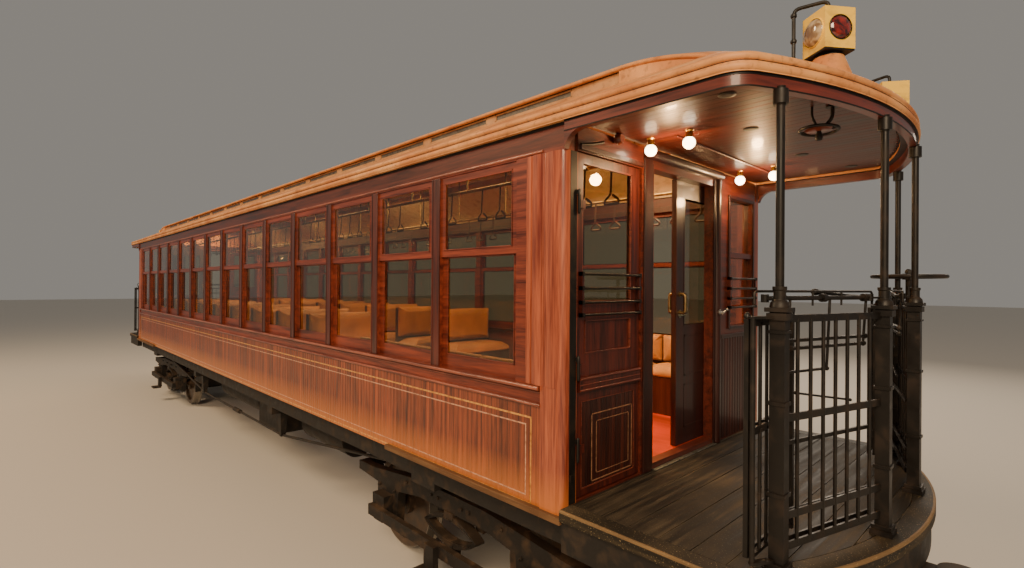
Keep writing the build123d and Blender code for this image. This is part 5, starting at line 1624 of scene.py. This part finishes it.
@dataclass
class PlatformIron(EndPart):
    """Castings, rods and hand levers of the gates, and the pipes' fittings under the hood."""

    corner: Pair = (1.03, 1.13)
    centre: Pair = (1.247, 0.38)
    post_height: float = 1.1
    shift: float = 0.06

    def make(self, end: End) -> None:
        """Make the fittings of one platform."""
        cast, rods = Former(CAR.floor), Former(CAR.floor)
        for side in (-1, 1):
            for x, y in (self.corner, self.centre):
                self.post(cast, x, side * y)
            self.levers(rods, side)
            self.rails(rods, side)
        cast.at_end(end, "post_castings", IRON, "black_iron", bevel=0.0012)
        rods.at_end(end, "gate_rods", IRON, "black_iron")

    def post(self, cast: Former, x: float, y: float) -> None:
        """Add a post's foot, bands, capital and the fittings of the pipe above it.

        Args:
            cast: Former that takes them.
            x: Local x of the post.
            y: Local y of the post.
        """
        for z, half, tall in ((0.026, 0.042, 0.02), (0.32, 0.036, 0.016), (0.7, 0.036, 0.016),
                              (1.0, 0.037, 0.012), (1.055, 0.04, 0.03), (1.09, 0.046, 0.018)):
            cast.blocks([x - half, y - half, z], [x + half, y + half, z + tall])
        cast.turned([(0, 0), (0.04, 0), (0.036, 0.02), (0.024, 0.034), (0.024, 0.07), (0.028, 0.075),
                     (0.028, 0.088), (0, 0.088)], (x, y, self.post_height + 0.008), sides=16)
        cast.turned([(0, 0), (0.0175, 0), (0.0205, 0.008), (0.022, 0.026), (0.02, 0.042), (0.018, 0.048),
                     (0.018, 0.072), (0.0205, 0.08), (0, 0.08)],
                    (x, y, CAR.eave - CAR.floor - 0.126), sides=18)
        for dx, dy in ((0.034, 0.034), (-0.034, 0.034), (0.034, -0.034), (-0.034, -0.034)):
            cast.turned([(0.007, 0), (0.006, 0.006), (0, 0.008)], (x + dx, y + dy, 0.025), sides=6)

    def along(self, side: int, part: float, height: float) -> np.ndarray:
        """Place above the inner edge of the railing, part of the way from corner to centre post.

        Args:
            side: 1 on the left, -1 on the right.
            part: 0 at the corner post and 1 at the centre post.
            height: Height above the floor.

        Returns:
            Local x, y and z.
        """
        first = np.array([self.corner[0] - self.shift, side * self.corner[1]])
        last = np.array([self.centre[0] - self.shift, side * self.centre[1]])
        return np.append(first + (last - first) * part, height)

    def levers(self, rods: Former, side: int) -> None:
        """Add the thin top rail with its stays, the shaft's collars and the hand levers.

        Args:
            rods: Former that takes them.
            side: 1 on the left, -1 on the right.
        """
        at = partial(self.along, side)
        path = [at(-0.085, 1.12), at(-0.085, 1.175), at(1.025, 1.175), at(1.025, 1.11)]
        rods.tube(rounded(path, 0.02), 0.0055, 8)
        for part in (0.16, 0.42, 0.7):
            rods.tube([at(part, 1.11), at(part, 1.175)], 0.0045, 6)
        step = unit(at(1.0, 0) - at(0, 0))
        for part in (0.14, 0.52, 0.94):
            middle = at(part, 1.145)
            rods.tube([middle - step * 0.014, middle + step * 0.014], 0.019, 12)
        inward = np.array([-0.028, 0, 0])
        foot = at(1.0, 1.145) + inward
        tip = at(0.51, 1.172) + inward
        rods.tube([at(1.0, 1.145), foot], 0.011, 8)
        rods.tube([foot, tip], np.array([0.01, 0.007]), 8)
        rods.turned([(0, -0.022), (0.013, -0.018), (0.0165, 0), (0.013, 0.016), (0, 0.02)],
                    tip, tip - foot, 12)

    def rails(self, rods: Former, side: int) -> None:
        """Add the pull rods between the posts and the links that hang from the shaft.

        Args:
            rods: Former that takes them.
            side: 1 on the left, -1 on the right.
        """
        at = partial(self.along, side)
        inward = np.array([-0.012, 0, 0])
        for start, stop, z0, z1, radius, knob in (
            (0.215, 0.98, 0.955, 0.955, 0.0085, 0.014),
            (0.25, 0.96, 0.92, 0.92, 0.0085, 0.014),
            (0.215, 0.585, 0.815, 0.815, 0.0065, 0.011),
            (0.29, 0.825, 0.72, 0.65, 0.005, 0.008),
        ):
            ends = np.array([at(start, z0), at(stop, z1)]) + inward
            rods.tube(ends, radius, 8)
            for spot in ends:
                rods.turned([(0, -knob), (knob * 0.8, -knob * 0.6), (knob, 0), (knob * 0.8, knob * 0.6),
                             (0, knob)], spot, ends[1] - ends[0], 10)
        for part, z0 in ((0.215, 0.815), (0.585, 0.815), (0.96, 0.92)):
            rods.tube([at(part, z0) + inward, at(part, 1.14)], 0.006, 8)
        for z, half in ((0.52, 0.009), (0.228, 0.007), (0.105, 0.014)):
            path = np.array([at(0.06, z), at(0.94, z)]) - inward * 2.2
            rods.moulding(path, (-1, 0, 0), [(-0.004, -half), (0.006, -half), (0.006, half), (-0.004, half)])


@dataclass
class GateTrim(EndPart):
    """Bosses, collars and ball caps on the folding gates."""

    pin: Pair = (0.965, 1.24)
    leaf: float = 0.47
    fold: float = 0.032
    pickets: int = 5
    bottom: float = 0.06

    def make(self, end: End) -> None:
        """Make the trim of an end's four leaves."""
        for name, side in SIDES.items():
            local = end.sign * side
            far = self.pin[1] - self.leaf + 0.023
            for leaf, x, near in (("outer", self.pin[0], self.pin[1]),
                                  ("inner", self.pin[0] - self.fold, self.pin[1] - 0.02)):
                trim = Former(CAR.floor)
                for index in range(1, self.pickets + 1):
                    y = local * (far + (near - far) * index / (self.pickets + 1))
                    for z in (0.52, 0.985):
                        trim.turned([(0, -0.004), (0.011, 0), (0.011, 0.012), (0, 0.016)],
                                    (x, y, self.bottom + z + 0.004), sides=10)
                    trim.turned([(0, 0), (0.0085, 0.004), (0.0085, 0.014), (0, 0.018)],
                                (x, y, self.bottom + 0.25), sides=10)
                stile = far if leaf == "outer" else near
                trim.turned([(0, 0), (0.013, 0.004), (0.0135, 0.016), (0.006, 0.026), (0, 0.028)],
                            (x, local * stile, self.bottom + 1.0), sides=12)
                trim.moved(end).finish(f"gate_bosses_{end.name}_{name}_{leaf}", IRON, "black_iron",
                                       body=f"gate_{end.name}_{name}_{leaf}")


@dataclass
class BrakeColumn(EndPart):
    """Hand brake column: stand, ratchet, collar and the wheel's nut."""

    place: Pair = (1.13, 0.9)
    wheel_z: float = 1.27

    def make(self, end: End) -> None:
        """Make the fittings of one column. The ratchet's radius steps from tooth to gap."""
        iron = Former(CAR.floor)
        x, y = self.place
        iron.turned([(0, 0), (0.058, 0), (0.058, 0.022), (0.03, 0.05), (0.022, 0.12), (0.022, 0.16),
                     (0, 0.16)], (x, y, 0.001), sides=18)
        teeth = np.linspace(0, 2 * math.pi, 48, endpoint=False)
        radius = 0.058 + 0.007 * (np.arange(48) % 2)
        iron.lattice(np.stack([spread(x + radius * np.cos(teeth), y + radius * np.sin(teeth), z)
                               for z in (0.185, 0.205)]), False, True)
        for z in (0.6, 0.98):
            iron.turned([(0, 0), (0.021, 0.003), (0.024, 0.016), (0.021, 0.03), (0, 0.033)],
                        (x, y, z), sides=16)
        iron.turned([(0, 0), (0.022, 0), (0.02, 0.016), (0.01, 0.026), (0, 0.028)],
                    (x, y, self.wheel_z + 0.024), sides=6)
        iron.at_end(end, "brake_fittings", IRON, "black_iron")


@dataclass
class MarkerLamps:
    """Square signal lamps on the hoods: enamelled case, lenses, flared foot and a pipe bail."""

    place: Pair = (1.07, 0.637)
    seat: float = 3.515
    turn: float = 36.0
    case: Pair = (0.154, 0.192)
    base: Pair = (0.06, 0.022)
    bail: Pair = (0.13, 0.024)
    front_lens: Pair = (0.055, 0.014)
    side_lens: Pair = (0.065, 0.026)

    def build(self) -> None:
        """Make all four lamps."""
        made = {kind: Former() for kind in ("cases", "irons", "red_lenses", "clear_lenses")}
        for end in ENDS:
            for side in (-1, 1):
                lean = math.radians(side * self.turn)
                cosine, sine = math.cos(lean), math.sin(lean)
                rotation = np.array([[cosine, sine, 0], [-sine, cosine, 0], [0, 0, 1]])
                spot = np.array([self.place[0], side * self.place[1], self.seat])
                for kind, former in self.parts(side).items():
                    merged = np.concatenate(former.points)
                    made[kind].shell(end.place(merged @ rotation + spot), former.faces)
        cases = made["cases"].finish("lamp_cases", YELLOW, "lamp_yellow", bevel=0.003)
        self.pipes(made["irons"])
        made["irons"].finish("lamp_irons", IRON, "black_iron")
        made["red_lenses"].finish("lamp_lenses_red", RED_LENS, "glass")
        made["clear_lenses"].finish("lamp_lenses_clear", CLEAR_LENS, "glass")
        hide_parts("marker_lamps")

    def pipes(self, irons: Former) -> None:
        """Add the pipe that stands by each lamp and reaches over it.

        Args:
            irons: Former that takes them.
        """
        x, y = self.place
        top = self.seat + self.base[1] + self.case[1]
        for end in ENDS:
            for side in (-1, 1):
                former = Former()
                foot = [x - 0.142, side * (y + 0.039), self.seat - 0.01]
                path = rounded([foot, [foot[0], foot[1], top + 0.06], [x, side * y, top + 0.066],
                                [x, side * y, top - 0.002]], 0.03)
                former.tube(path, 0.009, 10)
                former.turned([(0, 0), (0.024, 0), (0.022, 0.012), (0.01, 0.02), (0, 0.02)],
                              (foot[0], foot[1], self.seat - 0.004))
                for z in (self.seat + 0.105, top + 0.018):
                    former.turned([(0, 0), (0.013, 0.004), (0.015, 0.012), (0.013, 0.02), (0, 0.024)],
                                  (foot[0], foot[1], z))
                former.moved(end)
                irons.shell(np.concatenate(former.points), former.faces)

    def parts(self, side: int) -> dict[str, Former]:
        """Shells of one lamp about its seat, its front lens along x and the other along y.

        Args:
            side: 1 on the left, -1 on the right.

        Returns:
            Former of each kind of piece, by its name.
        """
        half, tall = self.case[0] / 2, self.case[1]
        low = self.base[1]
        middle = low + tall / 2
        cases, irons, red, clear = (Former() for _ in range(4))
        cases.blocks([-half, -half, low], [half, half, low + tall])
        cases.blocks([-half + 0.02, -half + 0.02, low + tall], [half - 0.02, half - 0.02, low + tall + 0.001])
        for rims, glass, (radius, bulge), spot, axis in (
            (irons, red, self.front_lens, (half - 0.001, 0, middle), (1, 0, 0)),
            (cases, clear, self.side_lens, (0, side * (half - 0.001), middle), (0, side, 0)),
        ):
            rims.turned([(radius + 0.003, 0), (radius + 0.003, 0.005), (radius, 0.007),
                         (radius - 0.001, 0.005), (radius - 0.001, 0), (radius + 0.003, 0)], spot, axis, 32)
            glass.turned([(radius - 0.0005, 0), (radius * 0.86, bulge * 0.55), (radius * 0.53, bulge * 0.9),
                          (0, bulge)], spot, axis, 28)
        irons.blocks([-half + 0.002, -half + 0.002, low - 0.008], [half - 0.002, half - 0.002, low + 0.0005])
        foot = self.base[0]
        irons.turned([(0, 0), (foot, 0), (foot, 0.01), (0.056, low), (0, low)], (0, 0, 0), sides=24)
        reach, inset = self.bail
        bottom, top = low + inset, low + tall - inset
        path = [[-half, 0, bottom], [-reach, 0, bottom], [-reach, 0, top], [-half, 0, top]]
        irons.tube(rounded(path, 0.02), 0.0065)
        return {"cases": cases, "irons": irons, "red_lenses": red, "clear_lenses": clear}


@dataclass
class CeilingLamps:
    """Bare bulbs in turned sockets under the hoods."""

    rows: tuple[Pair, ...] = ((0.11, 0.64), (0.36, 0.64))
    ceiling: float = 3.33
    drop: float = 0.055
    bulb: float = 0.036

    def build(self) -> None:
        """Make the sockets and bulbs, spheres cut off at the neck, for their plain solids."""
        sockets, bulbs = Former(), Former()
        for end in ENDS:
            for x, y in self.rows:
                for side in (-1, 1):
                    spot = end.place(np.array([x, side * y, self.ceiling]))
                    sockets.turned([(0, 0), (0.026, 0), (0.026, 0.01), (0.02, 0.016), (0.022, 0.04),
                                    (0.018, self.drop), (0, self.drop)], spot, (0, 0, -1), 18)
                    turn = np.linspace(0.45, math.pi, 10)
                    globe = np.stack([self.bulb * np.sin(turn), 0.025 - self.bulb * np.cos(turn)], -1)
                    neck = np.array([[0, -0.006], [0.015, -0.006]])
                    bulbs.turned(np.concatenate([neck, globe]), spot - [0, 0, self.drop], (0, 0, -1), 18)
        piece = bulbs.finish("ceiling_bulbs", BULB, "bulbs", 60)
        sockets.finish("ceiling_sockets", BRASS, "bulbs")
        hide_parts("platform_lamps")


@dataclass
class Upholstery:
    """Cane-covered cushions, each a stuffed form grown by cloth simulation from a slack box."""

    count: int = 15
    width: float = 0.985
    height: float = 0.86
    rim: float = 0.62
    bottom: float = 0.002
    held: float = 0.012
    voxel: float = 0.014
    cap: float = 0.016
    pressure: float = 4.0
    frames: int = 14

    def template(self, name: str, size: Triple) -> tuple[np.ndarray, list[list[int]]]:
        """Shape one cushion of a size, standing on its lower face at the origin.

        The box's top falls towards its rim: its height follows the root of the product of two falls
        with the fifth power of the place across.

        Args:
            name: Name of the scratch object.
            size: Extent along x, y and z.

        Returns:
            Points from the cushion's lowest corner, and faces.
        """
        sx, sy, sz = size
        n = self.count
        u = np.linspace(-1, 1, n)
        bent = np.sign(u) * np.abs(u) ** 0.8
        a, b = np.meshgrid(bent, bent, indexing="ij")
        crown = np.sqrt(np.clip((1 - np.abs(a) ** 5) * (1 - np.abs(b) ** 5), 0, 1))
        top = sz * (self.rim + (1 - self.rim) * crown) * self.height
        x = sx / 2 * (1 + a * self.width)
        y = sy / 2 * (1 + b * self.width)
        former = Former()
        former.lattice(spread(x, y, top))
        former.lattice(spread(x, y, self.bottom))
        rim = np.concatenate([np.arange(n) * n, (n - 1) * n + np.arange(1, n),
                              np.arange(n - 2, -1, -1) * n + n - 1, np.arange(n - 2, 0, -1)])
        following = np.roll(rim, -1)
        former.faces.extend(np.stack([rim, following, following + n * n, rim + n * n], -1).tolist())
        points, faces = np.concatenate(former.points), former.faces
        return self.simulate(name, points, faces, size)

    def simulate(self, name: str, points: np.ndarray, faces: list[list[int]],
                 size: Triple) -> tuple[np.ndarray, list[list[int]]]:
        """Swell a cushion with cloth under pressure and read its mesh back.

        Args:
            name: Name of the scratch object.
            points: Points of the slack box.
            faces: Numbers of each face's points.
            size: Extent that the cushion stays inside.

        Returns:
            Points and faces of the swollen cushion.
        """
        pad = bpy.data.objects.new(name, clean_mesh(name, points, faces))
        bpy.context.scene.collection.objects.link(pad)
        bpy.context.view_layer.objects.active = pad
        remesh = pad.modifiers.new("remesh", "REMESH")
        remesh.mode = "VOXEL"
        remesh.voxel_size = self.voxel
        graph = bpy.context.evaluated_depsgraph_get()
        dense = bpy.data.meshes.new_from_object(pad.evaluated_get(graph))
        pad.modifiers.clear()
        pad.data = dense
        start = np.zeros(len(dense.vertices) * 3)
        dense.vertices.foreach_get("co", start)
        start = start.reshape(-1, 3)
        held = pad.vertex_groups.new(name="held")
        held.add(np.nonzero(start[:, 2] < self.held)[0].tolist(), 1.0, "REPLACE")
        cloth = pad.modifiers.new("cloth", "CLOTH")
        cloth.settings.use_pressure = True
        cloth.settings.uniform_pressure_force = self.pressure
        cloth.settings.effector_weights.gravity = 0
        cloth.settings.vertex_group_mass = "held"
        scene = bpy.context.scene
        for step in range(1, self.frames + 1):
            scene.frame_set(step)
        graph = bpy.context.evaluated_depsgraph_get()
        swollen = bpy.data.meshes.new_from_object(pad.evaluated_get(graph))
        grown = np.zeros(len(swollen.vertices) * 3)
        swollen.vertices.foreach_get("co", grown)
        move = grown.reshape(-1, 3) - start
        length = np.linalg.norm(move, axis=1, keepdims=True)
        move *= np.minimum(1, self.cap / np.maximum(length, 1e-9))
        result = np.clip(start + move, 0, np.array(size))
        shape = [list(face.vertices) for face in swollen.polygons]
        bpy.data.objects.remove(pad)
        scene.frame_set(1)
        return result, shape


@dataclass
class Saloon:
    """Inside of the body: seat cushions, aisle rails, hanging straps and the lining."""

    upholstery: Upholstery = field(default_factory=Upholstery)
    seat_wall: float = 1.229
    seat_base: float = 1.6
    long_seat: Pair = (3.75, 6.0)
    sections: int = 4
    rows: int = 8

    def build(self) -> None:
        """Make the cushions, straps and lining."""
        self.long_seats()
        self.cross_seats()
        self.straps()
        self.lining()

    def copies(self, name: str, size: Triple, spots: list[tuple[np.ndarray, np.ndarray]],
               replaces: bool = False) -> None:
        """Set copies of one cushion.

        Args:
            name: Name of the piece.
            size: Size of one cushion before it is turned.
            spots: For each copy a 3 by 3 turn and the place of its lowest corner's image.
            replaces: This piece stands for the plain cushions.
        """
        points, faces = self.upholstery.template(name + "_template", size)
        former = Former()
        for turn, spot in spots:
            former.shell(points @ turn.T + spot, faces)
        piece = former.finish(name, CANE, "rattan", 60)
        if replaces:
            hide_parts("seat_cushions")

    def long_seats(self) -> None:
        """Make the cushions and backs of the long seats by the ends."""
        start, stop = self.long_seat
        length = (stop - start) / self.sections
        seats, backs = [], []
        for side in SIDES.values():
            flip = np.diag([1.0, side, 1.0])
            upright = np.array([[1, 0, 0], [0, 0, -side], [0, 1, 0]], float)
            for first in (start, -stop):
                for index in range(self.sections):
                    x = first + index * length + 0.003
                    seat = [x, side * (self.seat_wall - 0.43), self.seat_base + 0.0005]
                    back = [x, side * (self.seat_wall - 0.0555), self.seat_base + 0.095]
                    seats.append((flip, np.array(seat)))
                    backs.append((upright, np.array(back)))
        self.copies("long_seat_cushions", (length - 0.006, 0.299, 0.112), seats, True)
        self.copies("long_seat_backs", (length - 0.006, 0.262, 0.076), backs)

    def cross_seats(self) -> None:
        """Make the cushions and backs of the cross seats."""
        aisle = 0.345
        upright = np.array([[0, 0, 1], [1, 0, 0], [0, 1, 0]], float)
        seats, backs = [], []
        for low in (aisle, -self.seat_wall):
            for x in (np.arange(self.rows) - (self.rows - 1) / 2) * CAR.pitch:
                back = x - 0.211 + 0.0003
                seats.append((np.eye(3), np.array([back + 0.005, low, self.seat_base + 0.0005])))
                backs.append((upright, np.array([back, low, self.seat_base + 0.112])))
        width = self.seat_wall - aisle
        self.copies("cross_seat_cushions", (0.432, width, 0.11), seats)
        self.copies("cross_seat_backs", (width, 0.415, 0.07), backs)

    def straps(self) -> None:
        """Make the two ceiling rails and the leather straps that hang from them."""
        rails = Former()
        loops = Former()
        z = 3.22
        for side in SIDES.values():
            y = side * 0.62
            rails.tube([[-5.9, y, z], [5.9, y, z]], 0.014, 10)
            for x in np.arange(-5.6, 5.7, CAR.pitch):
                rails.tube([[x, y, z], [x, y, 3.755]], 0.008, 8)
                for shift in (0.2, 0.42, 0.64):
                    path = rounded([[x + shift, y, z + 0.012], [x + shift, y - 0.01, z - 0.2],
                                    [x + shift - 0.055, y, z - 0.235], [x + shift - 0.055, y, z - 0.262],
                                    [x + shift + 0.055, y, z - 0.262], [x + shift + 0.055, y, z - 0.235],
                                    [x + shift, y + 0.01, z - 0.2]], 0.02, 4)
                    loops.tube(path, 0.009, 6, aspect=0.4)
        rails.finish("strap_rails", DULL_BRASS, "bulbs")
        loops.finish("hand_straps", DARK_WOOD, "seat_wood")

    def lining(self) -> None:
        """Make the cream ceiling lining, the frieze boards and the inner sill rails.

        The lining's middle is an arch whose drop grows with the square of the place across.
        """
        ceiling = Former()
        reach = np.array([[-6.2], [6.2]])
        turn = np.linspace(-1, 1, 17)
        y = 0.755 * turn
        z = 3.709 + 0.152 * (1 - turn**2)
        ceiling.lattice(spread(reach, np.append(y, y[::-1]), np.append(z, z[::-1] - 0.006)), False, True)
        for side in SIDES.values():
            lower = np.array([[1.215, 3.3], [1.205, 3.338], [1.11, 3.413], [0.955, 3.498], [0.8, 3.598],
                              [0.8, 3.592], [0.951, 3.492], [1.104, 3.407], [1.199, 3.332], [1.209, 3.3]])
            ceiling.lattice(spread(reach, side * lower[:, 0], lower[:, 1]), False, True)
        ceiling.finish("ceiling_lining", CREAM, smooth=50)
        rails = Former()
        for side in SIDES.values():
            for z0, z1, out in (
                (CAR.belt - 0.03, CAR.belt + 0.004, 0.035),
                (CAR.head - 0.006, CAR.head + 0.05, 0.014),
            ):
                rails.blocks([-6.15, side * (CAR.inner - out), z0], [6.15, side * (CAR.inner - 0.001), z1])
        rails.finish("window_stools", INTERIOR_WOOD, "seat_wood", bevel=0.004)


@dataclass
class RunningGear(EndPart):
    """Bogies' fittings: spring leaves, box lids and bolts."""

    def make(self, end: End) -> None:
        """Make the trim of one bogie."""
        body = f"bogie_{end.name}"
        spring, iron = Former(), Former()
        for side in (-1, 1):
            self.springs(spring, side)
            self.boxes(iron, side)
        shift = [-CAR.half_length + CAR.bogie_centre, 0, 0]
        for former, name in ((spring, "spring_leaves"), (iron, "box_lids")):
            former.points = [part + shift for part in former.points]
            former.at_end(end, name, BOGIE_IRON, "black_steel", bevel=0.0015, body=body)

    def springs(self, former: Former, side: int) -> None:
        """Add a full elliptic spring's leaves, each a bowed strip: rise falls with the square of x.

        Args:
            former: Former that takes them.
            side: 1 on the left, -1 on the right.
        """
        for leaf in range(4):
            reach = 0.325 - 0.045 * leaf
            x = np.linspace(-reach, reach, 17)
            for direction in (1, -1):
                z = 0.52 + direction * (0.12 - 0.011 * leaf) * (1 - (x / 0.335) ** 2)
                y0, y1 = side * 0.899, side * 0.987
                below = z - direction * 0.008
                former.loft([spread(x, y0, z), spread(x, y1, z), spread(x, y1, below), spread(x, y0, below)])
        former.blocks([-0.055, side * 0.896, 0.375], [0.055, side * 0.992, 0.425])
        former.blocks([-0.055, side * 0.896, 0.615], [0.055, side * 0.992, 0.665])

    def boxes(self, former: Former, side: int) -> None:
        """Add the journal boxes' lids and the bolts of the side frames.

        Args:
            former: Former that takes them.
            side: 1 on the left, -1 on the right.
        """
        for x in (-CAR.half_base, CAR.half_base):
            former.turned([(0, 0), (0.072, 0), (0.074, 0.01), (0.06, 0.022), (0.03, 0.028), (0, 0.028)],
                          (x, side * 0.999, CAR.axle_z + 0.005), (0, side, 0), 20)
            for dx in (-0.125, 0.125):
                for z in (0.345, 0.6):
                    former.turned([(0.016, 0), (0.016, 0.01), (0.009, 0.012), (0.009, 0.024), (0, 0.026)],
                                  (x + dx, side * 0.981, z), (0, side, 0), 6)
        for x in (-0.24, 0.24, -0.6, 0.6, -0.15, 0.15):
            former.turned([(0.015, 0), (0.015, 0.01), (0.008, 0.012), (0, 0.02)],
                          (x, side * 0.981, 0.73), (0, side, 0), 6)


class NodeFinishes:
    """Finishes of the frame's own solids."""

    TABLE: tuple[tuple[Finish, str], ...] = (
        (FRAME_IRON, "underframe truss_rods underfloor_gear drawbar_{end}"),
        (RED_FLOOR, "body_floor"),
        (SHEETED, "lower_panel_{side} side_frame_{side} window_sashes_{side}"),
        (STANDING, "corner_pilasters"),
        (CROSSWISE, "bulkhead_{end}"),
        (DOOR_WOOD, "cab_door_{end}"),
        (DARK_WOOD, "end_door_{end}"),
        (VALANCE, "hood_valance_{end}"),
        (ROOF, "lower_roof upper_roof"),
        (DECK_SIDE, "clerestory"),
        (HOOD, "hood_{end}"),
        (PLANKS, "platform_{end}"),
        (IRON, "gate_posts_{end} end_railing_{end} gate_levers hand_brakes"),
        (IRON, "gate_{end}_{side}_outer gate_{end}_{side}_inner"),
        (YELLOW, "marker_lamps"),
        (BULB, "platform_lamps"),
        (INTERIOR_WOOD, "seat_frames"),
        (CANE, "seat_cushions"),
        (BOGIE_IRON, "bogie_frame_{end}"),
        (GLASS, "window_glass_{side} end_glass cab_door_glass_{end} end_door_glass_{end}"),
    )

    def __init__(self, nodes: dict[str, bpy.types.Object]) -> None:
        """Keep the frame's nodes."""
        self.nodes = nodes

    def dress(self) -> None:
        """Give each node its finish. A name with a place in it stands for one of each end or side."""
        for end in ENDS:
            for finish, names in self.TABLE:
                for name in names.split():
                    for side in SIDES:
                        self.assign(name.format(end=end.name, side=side), finish)
            for place, direction in (("outer", 1), ("inner", -1)):
                axle = end.sign * (CAR.bogie_centre + direction * CAR.half_base)
                self.assign(f"wheelset_{end.name}_{place}", Tread(f"tread_{end.name}_{place}", axle))

    def assign(self, name: str, finish: Finish) -> None:
        """Put a finish in a node's material slot.

        Args:
            name: Name of the node.
            finish: Its finish.
        """
        node = self.nodes[name]
        if not node.material_slots:
            node.data.materials.append(finish.material())
        for slot in node.material_slots:
            slot.material = finish.material()


@dataclass
class Studio:
    """Camera, floor and lights."""

    eye: Triple = (8.139, -3.471, 2.423)
    lens: float = 18.59
    yaw: float = 43.727
    pitch: float = 0.149
    roll: float = 0.392

    def build(self) -> None:
        """Set up the camera, the floor and the lights."""
        self.camera()
        self.floor()
        self.lights()

    def camera(self) -> None:
        """Place the camera as the photograph was taken."""
        data = bpy.data.cameras.new("camera")
        data.sensor_width = 36.0
        data.lens = self.lens
        data.clip_end = 300
        camera = bpy.data.objects.new("camera", data)
        bpy.context.scene.collection.objects.link(camera)
        yaw, roll = math.radians(self.yaw), math.radians(self.roll)
        ahead = unit(np.array([-math.cos(yaw), math.sin(yaw), math.tan(math.radians(self.pitch))]))
        right = np.array([math.sin(yaw), math.cos(yaw), 0.0])
        up = np.cross(right, ahead)
        rolled_right = math.cos(roll) * right + math.sin(roll) * up
        rolled_up = -math.sin(roll) * right + math.cos(roll) * up
        placed = np.eye(4)
        placed[:3, 0], placed[:3, 1], placed[:3, 2] = rolled_right, rolled_up, -ahead
        placed[:3, 3] = self.eye
        camera.matrix_world = Matrix(placed.tolist())
        bpy.context.scene.camera = camera

    def floor(self) -> None:
        """Lay a plain pale floor and a pale surround."""
        mesh = bpy.data.meshes.new("floor")
        reach = 90.0
        mesh.from_pydata([(-reach, -reach, 0), (reach, -reach, 0), (reach, reach, 0), (-reach, reach, 0)], [],
                         [(0, 1, 2, 3)])
        floor = bpy.data.objects.new("floor", mesh)
        bpy.context.scene.collection.objects.link(floor)
        material = bpy.data.materials.new("studio_floor")
        material.use_nodes = True
        shader = material.node_tree.nodes["Principled BSDF"]
        shader.inputs["Base Color"].default_value = srgb("#CFC8BE")
        shader.inputs["Roughness"].default_value = 0.7
        mesh.materials.append(material)
        world = bpy.data.worlds.new("studio")
        world.use_nodes = True
        background = world.node_tree.nodes["Background"]
        background.inputs["Color"].default_value = srgb("#D9D2C8")
        background.inputs["Strength"].default_value = 0.36
        bpy.context.scene.world = world

    def lights(self) -> None:
        """Hang broad soft lights outside, and warm ones in the saloon and under the hoods."""
        self.area("key", (13.0, -11.0, 9.0), (3.0, 0.0, 2.0), 6.0, 2300, "#FFE0B8")
        self.area("fill", (-8.0, -11.0, 13.0), (-2.0, 0.0, 2.0), 5.0, 1800, "#FFDDB0")
        self.area("back", (4.0, 14.0, 10.0), (2.0, 0.0, 2.5), 8.0, 900, "#FFEAD0")
        for x in (-4.5, -1.5, 1.5, 4.5, 5.6, -5.6):
            self.area(f"saloon_{x}", (x, 0.0, 3.66), (x, 0.0, 1.3), 1.1, 60, "#FFCE92")
        for end in ENDS:
            for side in (-1, 1):
                spot = end.place(np.array([0.24, side * 0.64, 3.13]))
                self.bulb(f"hood_{end.name}_{side}", spot, 14.0)

    def hang(self, name: str, kind: str, at: Sequence[float], power: float, colour: str) -> bpy.types.Object:
        """Add a light.

        Args:
            name: Name of the light.
            kind: Blender's name of its kind.
            at: Its place.
            power: Watts.
            colour: Hex colour.

        Returns:
            The light's object.
        """
        data = bpy.data.lights.new(name, kind)
        data.energy = power
        data.color = srgb(colour)[:3]
        light = bpy.data.objects.new(name, data)
        light.location = at
        bpy.context.scene.collection.objects.link(light)
        return light

    def area(self, name: str, at: Sequence[float], towards: Sequence[float], size: float, power: float,
             colour: str) -> None:
        """Add a soft square light aimed at a point, itself unseen.

        Args:
            name: Name of the light.
            at: Its place.
            towards: Point it is aimed at.
            size: Width of the square.
            power: Watts.
            colour: Hex colour.
        """
        light = self.hang(name, "AREA", at, power, colour)
        light.data.size = size
        light.visible_camera = light.visible_transmission = False
        light.rotation_euler = (Vector(towards) - Vector(at)).to_track_quat("-Z", "Y").to_euler()

    def bulb(self, name: str, at: np.ndarray, power: float) -> None:
        """Add a small warm light."""
        self.hang(name, "POINT", at.tolist(), power, "#FFC98A").data.shadow_soft_size = 0.04


def main() -> None:
    """Dress the carriage."""
    logging.basicConfig(level=logging.INFO, format="%(message)s")
    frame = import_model()
    Studio().build()
    NodeFinishes(frame["nodes"]).dress()
    for part in (
        SideSheathing(),
        Windows(),
        RoofTrim(),
        HoodCeiling(),
        BulkheadTrim(),
        CabDoorTrim(),
        EndDoorTrim(),
        PlatformDeck(),
        PlatformIron(),
        GateTrim(),
        BrakeColumn(),
        MarkerLamps(),
        CeilingLamps(),
        Saloon(),
        RunningGear(),
    ):
        part.build()
        LOG.info("%s done", type(part).__name__)


if __name__ == "__main__":
    main()
